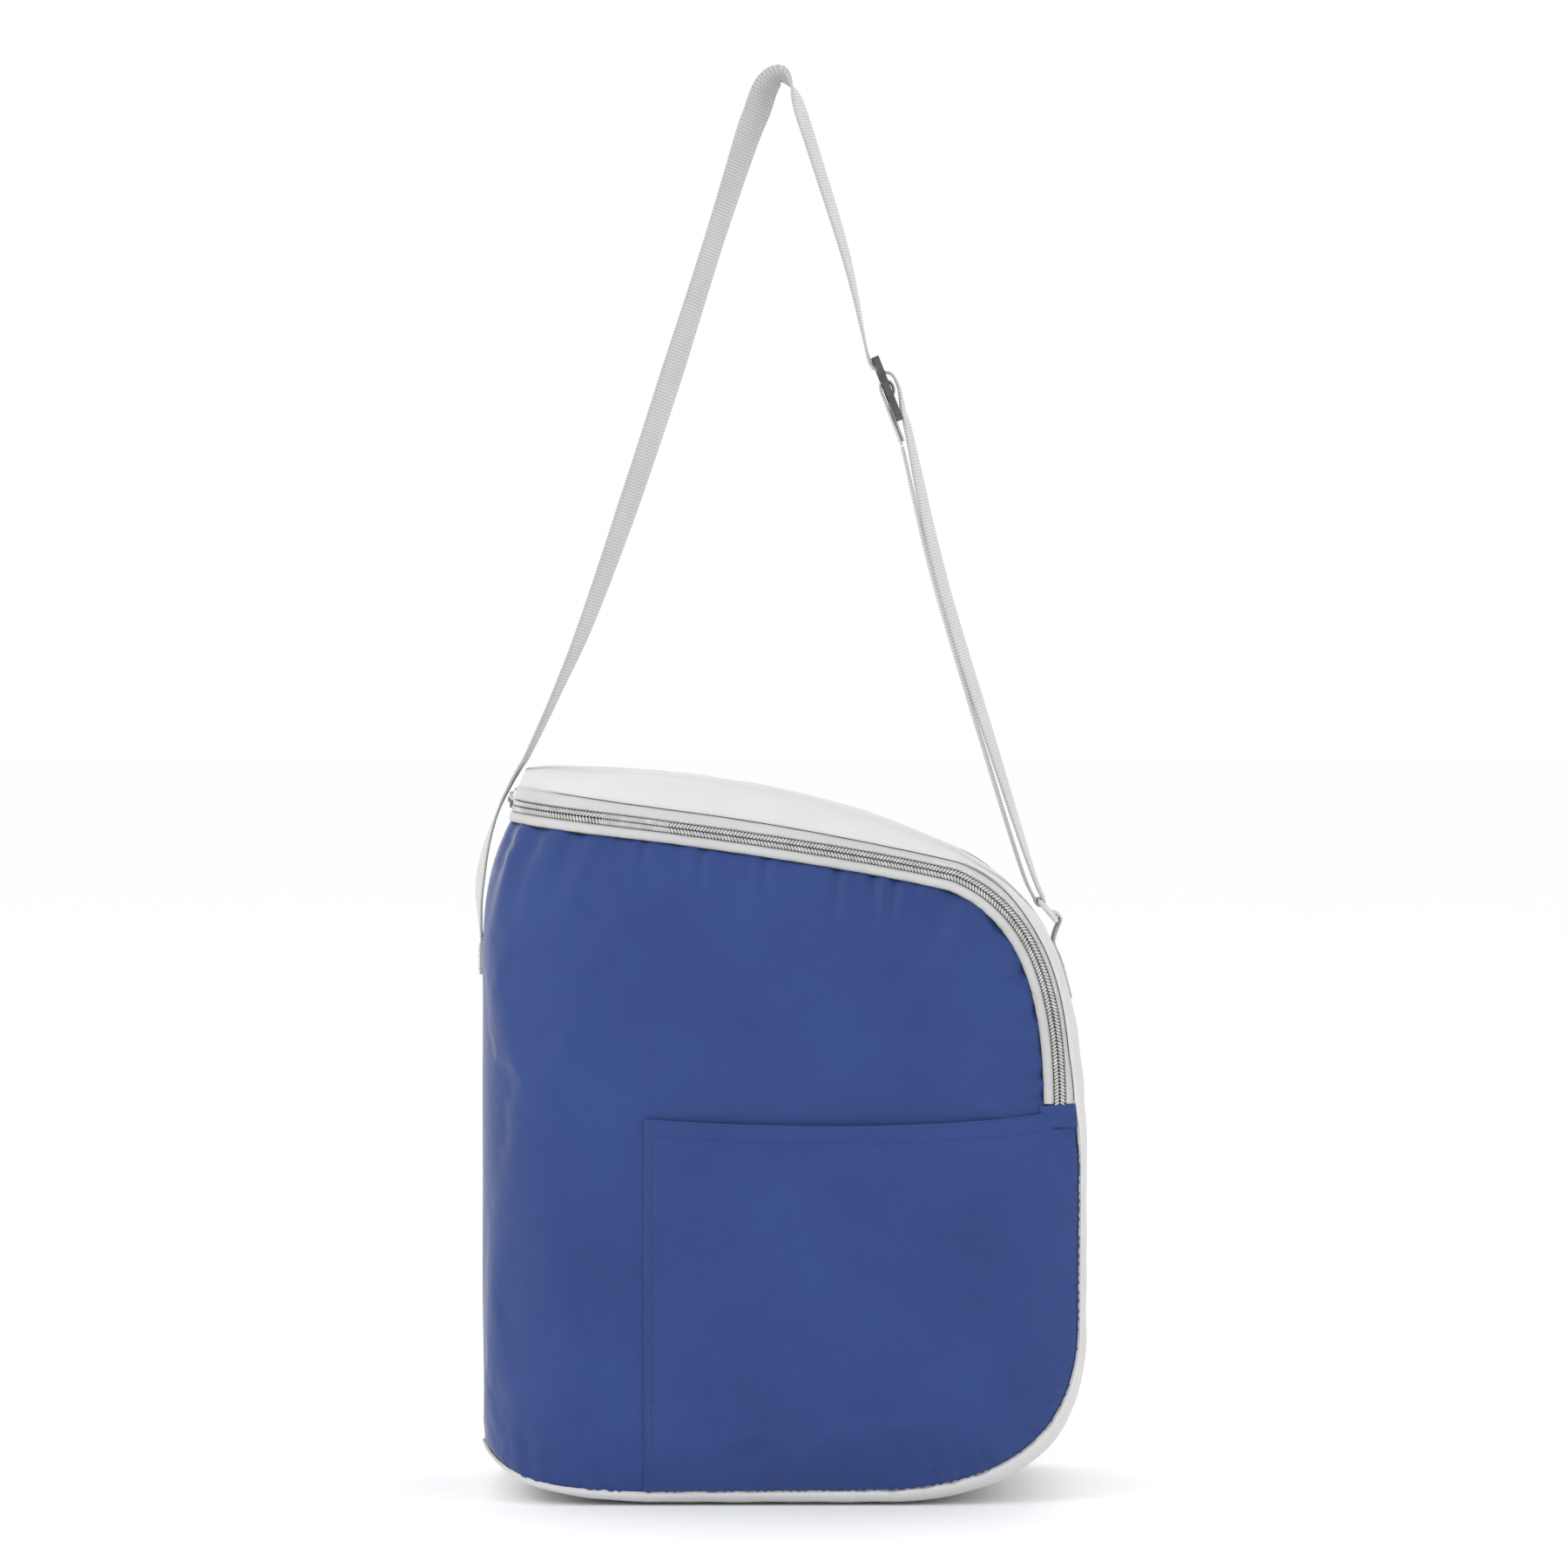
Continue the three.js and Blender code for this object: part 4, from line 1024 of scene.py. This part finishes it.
ribbon("strap_left_leg_web",
       [(-133.2, 238), (-134.2, 250), (-134.6, 262), (-133.0, 275), (-129.8, 288), (-125.3, 300.5),
        (-120.4, 310.5), (-116.4, 317.5), (-112.6, 324), (-99.6, 352), (-84.2, 389), (-58, 464.6),
        (-19.6, 584.6), (-12, 606)],
       [0, -10, -1, 3, 6, 12, 16, 19, 20, 21, 19, 18, 21, 26], ["strap_left_leg"], count=240)
ribbon("strap_apex_web", [(-12, 606), (-7.6, 617.5), (-1.5, 622.6), (3.8, 616.6), (7.4, 606)],
       [26, 26, 22, 8, -9, -12], ["strap_apex"], count=50)
ribbon("strap_right_leg_web", [(7.4, 606), (13.5, 587), (27.7, 540.8), at_adjuster(-17, -2.6)],
       [-12, -11, -10, -8, -4, 0], ["strap_right_leg"], count=100,
       slide=(metres((7.4, 606)), metres(at_adjuster(-17, -2.6))))
ribbon("strap_over_bars_web",
       [at_adjuster(-17, -2.6), at_adjuster(-12.8, -2.8), at_adjuster(-10.2, -1.8), at_adjuster(-7.6, 1.3),
        at_adjuster(-5.2, 4.3), at_adjuster(0, 5.1), at_adjuster(5, 4.5), at_adjuster(12, 2.9),
        at_adjuster(17, 2.6)],
       [0, 0, -1, -2, -4, -6], [], body="adjuster", count=90)
ribbon("strap_outer_strand_web",
       [at_adjuster(17, 2.6), (69.5, 399.6), (94.8, 317.7), (109.5, 272), tuple(RING_UPPER + (RING_TURN, 0.5))],
       [-6, -10, -12, -12, -11, -9, -6, -2], ["strap_outer_strand"], count=190,
       slide=(metres(RING_UPPER), metres(at_adjuster(17, 2.6))))
ribbon("strap_inner_strand_web",
       [at_adjuster(26, -3.1), (66, 399.6), (90.6, 317.7), (105, 272), tuple(RING_UPPER + (-RING_TURN, 0.5))],
       [0, 1, 1, 1, 0], ["strap_inner_strand"], count=160,
       slide=(metres(RING_UPPER), metres(at_adjuster(26, -3.1))))
ribbon("strap_ring_turn_web",
       [tuple(RING_UPPER + (-RING_TURN * math.cos(a), 0.3 - RING_TURN * math.sin(a)))
        for a in np.linspace(0, math.pi, 9)],
       [0, 0], ["strap_ring_turn"], count=30, thickness=1.0)
ribbon("strap_end_loop_web",
       [at_adjuster(25.5, -3.0), at_adjuster(14, -3.0), at_adjuster(5, -2.9), at_adjuster(0, -2.9),
        at_adjuster(-3.0, -2.0), at_adjuster(-3.5, 0), at_adjuster(-2.4, 2.3), at_adjuster(0.6, 2.8),
        at_adjuster(3.1, 1.8), at_adjuster(3.6, 0.2), at_adjuster(5, -0.9), at_adjuster(10, -1.6),
        at_adjuster(24, -1.7)],
       [0, 0], ["strap_end_loop"], body="adjuster", count=110, thickness=0.9)
middle_column = outer_strip[:, outer_strip.shape[1] // 2]
front_column = middle_column[middle_column[:, 0] > 60]
front_column = front_column[np.argsort(front_column[:, 2])]


def tab_x(z):
    """The X of the front tab's middle, where it lies on the strip."""
    return float(np.interp(z, front_column[:, 2], front_column[:, 0])) + WEB / 2 + 0.2


ribbon("front_tab_web",
       [tuple(RING_LOWER + (2.4 * math.cos(a), 2.4 * math.sin(a))) for a in np.linspace(2.4, -0.7, 8)]
       + [(tab_x(z), z) for z in (241, 234, 226, 216)],
       [0, 0], ["front_tab"], count=80)
ribbon("strap_back_patch_web", [(-133.3, 226.6), (-133.35, 233), (-133.3, 240)], [0, 0],
       ["strap_back_patch"], count=24, thickness=2.0)


def box_stitch(name, face_x, face_z, slope, size, body="bag"):
    """A sewn box with a cross on a webbing end. slope is how X changes with Z."""
    half_y, z0, z1 = size
    corners = [(-half_y, z0), (half_y, z0), (half_y, z1), (-half_y, z1)]
    runs = [(corners[k], corners[(k + 1) % 4]) for k in range(4)]
    runs += [(corners[0], corners[2]), (corners[1], corners[3])]
    centres, axes, ups = [], [], []
    for a, b in runs:
        span = np.array(b, float) - a
        count = max(3, int(np.linalg.norm(span) / 2.3))
        for k in range(count):
            y, z = np.array(a) + span * (k + 0.5) / count
            centres.append(np.array([face_x + slope * (z - face_z), y, z]))
            axes.append(np.array([slope * span[1], span[0], span[1]]))
            ups.append(np.array([math.copysign(1, face_x), 0, 0]))
    obj = beads(name, centres, axes, ups, 0.85, 0.24, THREAD_GREY)
    settle(obj, body=body, slot="webbing")
    return obj


box_stitch("back_patch_stitches", -134.5, 233, 0.0, (10.2, 228.6, 238))
TAB_SLOPE = (tab_x(231) - tab_x(217.5)) / 13.5
box_stitch("front_tab_stitches", tab_x(224) + WEB / 2 + 0.1, 224, TAB_SLOPE, (10.2, 217.5, 231))


def row_across(name, places, body, up):
    """Rows of stitches across the webbing at (X, Z) places."""
    centres, axes, ups = [], [], []
    for x, z in places:
        for y in np.arange(-10.5, 10.6, 2.1):
            centres.append(np.array([x, y, z]))
            axes.append(np.array([0.0, 1.0, 0.0]))
            ups.append(np.array([up[0], 0.0, up[1]]))
    obj = beads(name, centres, axes, ups, 0.8, 0.24, THREAD_GREY)
    settle(obj, body=body, slot="webbing")
    return obj


row_across("end_loop_stitches", [at_adjuster(9, -3.55), at_adjuster(13, -3.55), at_adjuster(23, -3.6)],
           "adjuster", -OUT)

# ------------------------------------------------------------------ CAD nodes that stay

for names, finish in ((["strap_adjuster"], CHARCOAL), (["front_ring"], PALE_PLASTIC), (["zip_slider", "zip_pull"], METAL),
                      (["base_board"], BOARD)):
    for node in names:
        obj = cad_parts[node]
        obj.data.materials.clear()
        obj.data.materials.append(finish)
        edge = obj.modifiers.new("Worn edge", "BEVEL")
        edge.width = 0.0003
        edge.segments = 2
        edge.limit_method = "ANGLE"
        obj.modifiers.new("Shading", "WEIGHTED_NORMAL")


# ------------------------------------------------------------------ stage, light and camera

stage_paint = bpy.data.materials.new("stage_paint")
stage_paint.use_nodes = True
paint = next(n for n in stage_paint.node_tree.nodes if n.type == "BSDF_PRINCIPLED")
paint.inputs["Base Color"].default_value = (0.985, 0.985, 0.985, 1)
paint.inputs["Roughness"].default_value = 0.9
floor_mesh = bpy.data.meshes.new("floor")
floor_mesh.from_pydata([(-9, -9, -0.0006), (9, -9, -0.0006), (9, 9, -0.0006), (-9, 9, -0.0006)], [], [(0, 1, 2, 3)])
floor_mesh.materials.append(stage_paint)
floor = bpy.data.objects.new("floor", floor_mesh)
bpy.context.scene.collection.objects.link(floor)

world = bpy.data.worlds.new("studio")
world.use_nodes = True
sky = next(n for n in world.node_tree.nodes if n.type == "BACKGROUND")
sky.inputs["Color"].default_value = (1, 1, 1, 1)
sky.inputs["Strength"].default_value = 1.0
bpy.context.scene.world = world


def softbox(name, place, target, size, power):
    lamp = bpy.data.lights.new(name, "AREA")
    lamp.shape = "RECTANGLE"
    lamp.size, lamp.size_y = size
    lamp.energy = power
    obj = bpy.data.objects.new(name, lamp)
    obj.location = place
    obj.rotation_mode = "QUATERNION"
    obj.rotation_quaternion = (Vector(target) - Vector(place)).to_track_quat("-Z", "Y")
    bpy.context.scene.collection.objects.link(obj)


softbox("key_light", (-1.3, -1.7, 1.5), (0, 0, 0.2), (1.0, 1.0), 14)
softbox("fill_light", (1.9, -1.6, 0.9), (0, 0, 0.25), (1.2, 1.6), 3)
softbox("top_light", (0.1, 0.5, 2.1), (0, 0, 0.2), (1.8, 1.4), 9)
bpy.context.scene.view_settings.view_transform = "Standard"

CAMERA_DISTANCE = 3.4
CAMERA_ELEVATION = 2.2  # degrees
VIEW_WIDTH = 0.6923
VIEW_MIDDLE = Vector((0, 0, 0.310))
lens = bpy.data.cameras.new("camera")
lens.sensor_width = 36
lens.lens = 36 * CAMERA_DISTANCE / VIEW_WIDTH
camera = bpy.data.objects.new("camera", lens)
tilt = math.radians(CAMERA_ELEVATION)
camera.location = VIEW_MIDDLE + CAMERA_DISTANCE * Vector((0, -math.cos(tilt), math.sin(tilt)))
camera.rotation_mode = "QUATERNION"
camera.rotation_quaternion = (VIEW_MIDDLE - camera.location).to_track_quat("-Z", "Y")
bpy.context.scene.collection.objects.link(camera)
bpy.context.scene.camera = camera
